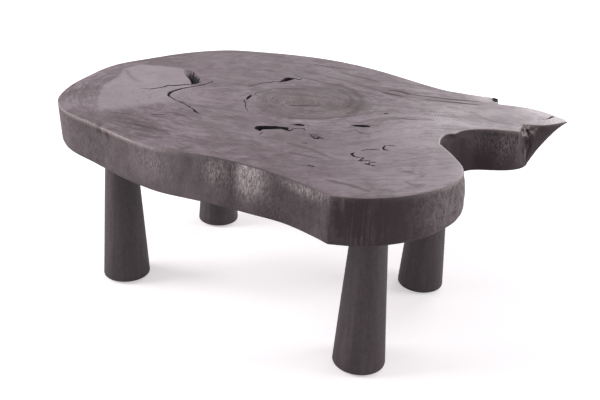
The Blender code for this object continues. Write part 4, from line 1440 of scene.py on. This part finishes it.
def makeBolts(look):
    # a machine thread down to the seam of slab and leg, a slim neck, a wood thread and a point, turned
    material, machine, wood = platedMetal("zincSteel", look), look["machine"], look["wood"]
    topFade, seamFade, neckFade = look["runOuts"]
    for corner in corners:
        low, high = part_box("bolt_" + corner)
        radius = (high.x - low.x) / 2
        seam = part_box("leg_" + corner)[1].z
        neckLow, pointHigh = seam - look["neck"], low.z + look["point"]
        slim = radius - look["neckDepth"]

        def wobble(angle, z, ringRadius):
            # the thread's depth below the outline, which fades where the thread runs out
            if ringRadius < look["pointRadius"] or neckLow - look["neckSpare"] < z <= seam:
                return 0 * angle
            if z > seam:
                fade = smoothStep((high.z - z) / topFade) * smoothStep((z - seam) / seamFade)
                return -fade * threadCut(angle, z, machine)
            fade = smoothStep((neckLow - z) / neckFade) * ringRadius / radius
            return -fade * threadCut(angle, z, wood)

        rows = [(0, high.z), (radius - look["bevel"], high.z)]
        rows += [(radius, z) for z in threadRows(high.z - look["bevel"], seam, machine)]
        rows += [(slim, seam - look["neckDepth"]), (slim, neckLow)]
        rows += [(radius, z) for z in threadRows(neckLow - look["neckDepth"], pointHigh, wood)]
        tip = threadRows(pointHigh, low.z, wood)[1:-1]
        rows += [(radius * (z - low.z) / look["point"], z) for z in tip] + [(0, low.z)]
        names = ("hangerBolt_" + corner, "bolt_" + corner, "bolt_steel")
        faces = addTurned(names, rows, wobble, look, material)
    print("bolts:", len(corners), "with", faces, "faces each")


# Inserts and the sockets that take them

insert = {
    "machine": machineThread,
    "sleeve": {"pitch": 0.0030, "depth": 0.0014, "crest": 0.4, "rows": 16},
    "flange": 0.002,
    "flangeWidth": 0.004,
    "sleeveWall": 0.004,
    "bevel": 0.0005,
    "runOut": 0.002,
    "threadEnd": 0.0002,  # above the flange
    "slack": 0.0001,  # by which a radius may differ and still count as the sleeve's or the bore's
    "seat": 0.0003,  # room between insert and socket
    "spare": 0.008,  # how much deeper the socket is
    "cutterBelow": 0.005,
    "socketSides": 48,
    "sides": 40,
    "sharpAngle": 35,
    "bright": (0.72, 0.53, 0.25),
    "dull": (0.55, 0.39, 0.17),
    "roughness": (0.22, 0.38),
}


def makeInserts(look):
    # a flanged sleeve with a thread outside and one in its bore, turned about an open axis
    material, machine = platedMetal("turnedBrass", look), look["machine"]
    bevel, slack = look["bevel"], look["slack"]
    for corner in corners:
        low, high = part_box("insert_" + corner)
        wide = (high.x - low.x) / 2
        sleeve, step = wide - look["flangeWidth"], low.z + look["flange"]
        bore = sleeve - look["sleeveWall"]

        def wobble(angle, z, ringRadius):
            # a coarse thread cut into the sleeve, and a fine one cut outwards into the bore
            fade = smoothStep((high.z - z) / look["runOut"]) * smoothStep((z - step) / look["runOut"])
            if ringRadius > sleeve - slack and z > step:
                return -fade * threadCut(angle, z, look["sleeve"])
            if ringRadius < bore + slack:
                return fade * threadCut(angle, z, machine)
            return 0 * angle

        rows = [(sleeve - bevel, high.z)]
        rows += [(sleeve, z) for z in threadRows(high.z - bevel, step + look["threadEnd"], look["sleeve"])]
        rows += [(sleeve, step), (wide - bevel, step), (wide, step - bevel), (wide, low.z + bevel)]
        rows += [(wide - bevel, low.z), (bore + bevel, low.z)]
        rows += [(bore, z) for z in threadRows(high.z - bevel, low.z + bevel, machine)[::-1]]
        rows.append((bore + bevel, high.z))
        names = ("flangedInsert_" + corner, "insert_" + corner, "insert_brass")
        faces = addTurned(names, rows, wobble, look, material, closed=True)
    print("inserts:", len(corners), "with", faces, "faces each")


def cutSockets(piece, bottom, look):
    # a turned cutter for each insert, as large as the insert's box and the seat, taken out of the slab
    for corner in corners:
        low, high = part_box("insert_" + corner)
        mouth = (high.x - low.x) / 2 + look["seat"]
        sleeve = mouth - look["flangeWidth"]
        step, floor = bottom + look["flange"] + look["seat"], high.z + look["spare"]
        outside = bottom - look["cutterBelow"]
        profile = [(0, floor), (sleeve, floor), (sleeve, step), (mouth, step)]
        profile += [(mouth, outside), (0, outside)]
        mesh = stitchRings(turnedRings(profile, axisOf("insert_" + corner), look["socketSides"]))
        cutter = addPiece("socketCutter", *mesh, piece.data.materials[0], look["sharpAngle"])
        cut = piece.modifiers.new("socket", "BOOLEAN")
        cut.solver = "MANIFOLD"
        cut.object = cutter
        finished = piece.evaluated_get(bpy.context.evaluated_depsgraph_get())
        carved = bpy.data.meshes.new_from_object(finished)
        piece.modifiers.clear()
        piece.data = carved
        bpy.data.objects.remove(cutter)
    piece.data.name = piece.name


# Stage, light and camera

studio = {
    "floorColour": (0.740, 0.724, 0.732),
    "floorSeen": (0.850, 0.830, 0.842),  # what the camera sees of the light on the floor
    "floorGlow": 0.45,  # and what it sees besides, so that the shadows stay faint
    "floorRings": (0, 0.6, 1.5, 3.0, 6.0, 12.0, 30.0),
    "floorSides": 128,
    "floorDim": 0.985,  # of the darker patches
    "floorPatches": (1.3, 2.0),  # noise: scale and detail
    "patchRange": (0.3, 0.7),
    "floorRoughness": 0.9,
    "floorAngle": 40,  # up to which its faces are smooth
    "whiten": (1.2, 3.5),  # metres from the middle between which the floor goes to plain white
    "whiteSeen": (1.0, 0.975, 0.988),
    "ambient": 0.40,
    "lightColour": (1.0, 0.970, 0.985),
    "lamps": {
        "leftSoftbox": {"place": (-3.31, -2.07, 2.25), "size": 2.4, "power": 155.0},
        "rightSoftbox": {"place": (3.26, 1.74, 1.50), "size": 2.0, "power": 76.0},
        "backSoftbox": {"place": (0.10, 3.80, 1.24), "size": 2.2, "power": 62.0},
    },
    "aim": (0.0, 0.0, 0.36),
}


def makeFloor(look):
    # a flat disc. The camera sees a paler colour and a glow, which grows to plain white with the distance
    material, tree, shader = newMaterial("paleFloor")
    where = objectPlace(tree)
    seen = addNode(tree, "ShaderNodeLightPath").outputs["Is Camera Ray"]
    patch = ranged(tree, noise(tree, where, *look["floorPatches"]), *look["patchRange"])
    plain = mixed(tree, patch, [look["floorDim"] * c for c in look["floorColour"]], look["floorColour"])
    colour = mixed(tree, seen, plain, look["floorSeen"])
    away = addNode(tree, "ShaderNodeVectorMath", {0: where}, operation="LENGTH").outputs["Value"]
    glow = times(tree, ranged(tree, away, *look["whiten"], look["floorGlow"], 1.0), seen)
    setInputs(tree, shader, {"Base Color": colour, "Specular IOR Level": 0.0})
    setInputs(tree, shader, {"Roughness": look["floorRoughness"]})
    setInputs(tree, shader, {"Emission Strength": glow, "Emission Color": rgba(look["whiteSeen"])})
    rings = turnedRings([(radius, 0) for radius in look["floorRings"]], (0, 0), look["floorSides"])
    points, faces = stitchRings(rings)
    floor = addPiece("paleFloor", points, faces, material, look["floorAngle"])


def makeLight(look):
    # an even light from all round, white where it is seen or mirrored, and square lamps facing the slab
    world = bpy.data.worlds.new("studio")
    bpy.context.scene.world = world
    world.use_nodes = True
    tree = world.node_tree
    path = addNode(tree, "ShaderNodeLightPath").outputs
    seen = maths(tree, "MAXIMUM", path["Is Camera Ray"], path["Is Glossy Ray"])
    seen = maths(tree, "MAXIMUM", seen, path["Is Transmission Ray"])
    strength = ranged(tree, seen, 0.0, 1.0, look["ambient"], 1.0)
    setInputs(tree, tree.nodes["Background"], {"Color": rgba(look["whiteSeen"]), "Strength": strength})
    for name, lamp in look["lamps"].items():
        data = bpy.data.lights.new(name, "AREA")
        data.shape = "SQUARE"
        data.size = lamp["size"]
        data.energy = lamp["power"]
        data.color = look["lightColour"]
        light = bpy.data.objects.new(name, data)
        light.visible_camera = False
        light.location = lamp["place"]
        light.rotation_mode = "QUATERNION"
        light.rotation_quaternion = (Vector(look["aim"]) - light.location).to_track_quat("-Z", "Y")
        bpy.context.scene.collection.objects.link(light)
    print("stage:", len(look["lamps"]), "lamps")


camera = {
    "place": (0.8111, -1.3370, 0.8936),
    "heading": 30.553,
    "pitch": 23.892,
    "roll": 2.692,
    "lens": 46.816,
    "sensor": 36.0,
}


def makeCamera(look):
    # looks along (-sin h cos p, cos h cos p, -sin p), with right and up turned about it by the roll
    h, p, roll = (math.radians(look[key]) for key in ("heading", "pitch", "roll"))
    ahead = Vector((-math.sin(h) * math.cos(p), math.cos(h) * math.cos(p), -math.sin(p)))
    level = Vector((math.cos(h), math.sin(h), 0))
    upright = level.cross(ahead)
    right = math.cos(roll) * level + math.sin(roll) * upright
    up = math.cos(roll) * upright - math.sin(roll) * level
    data = bpy.data.cameras.new("photoView")
    data.lens = look["lens"]
    data.sensor_width = look["sensor"]
    view = bpy.data.objects.new("photoView", data)
    turn = Matrix((right, up, -ahead)).transposed().to_4x4()
    view.matrix_world = Matrix.Translation(look["place"]) @ turn
    bpy.context.scene.collection.objects.link(view)
    bpy.context.scene.camera = view
    bpy.context.scene.view_settings.view_transform = "Standard"
    print("camera: lens", look["lens"], "mm")


makeSlab(slab)
makeLegs(leg)
makePads(pad)
makeBolts(bolt)
makeInserts(insert)
makeFloor(studio)
makeLight(studio)
makeCamera(camera)
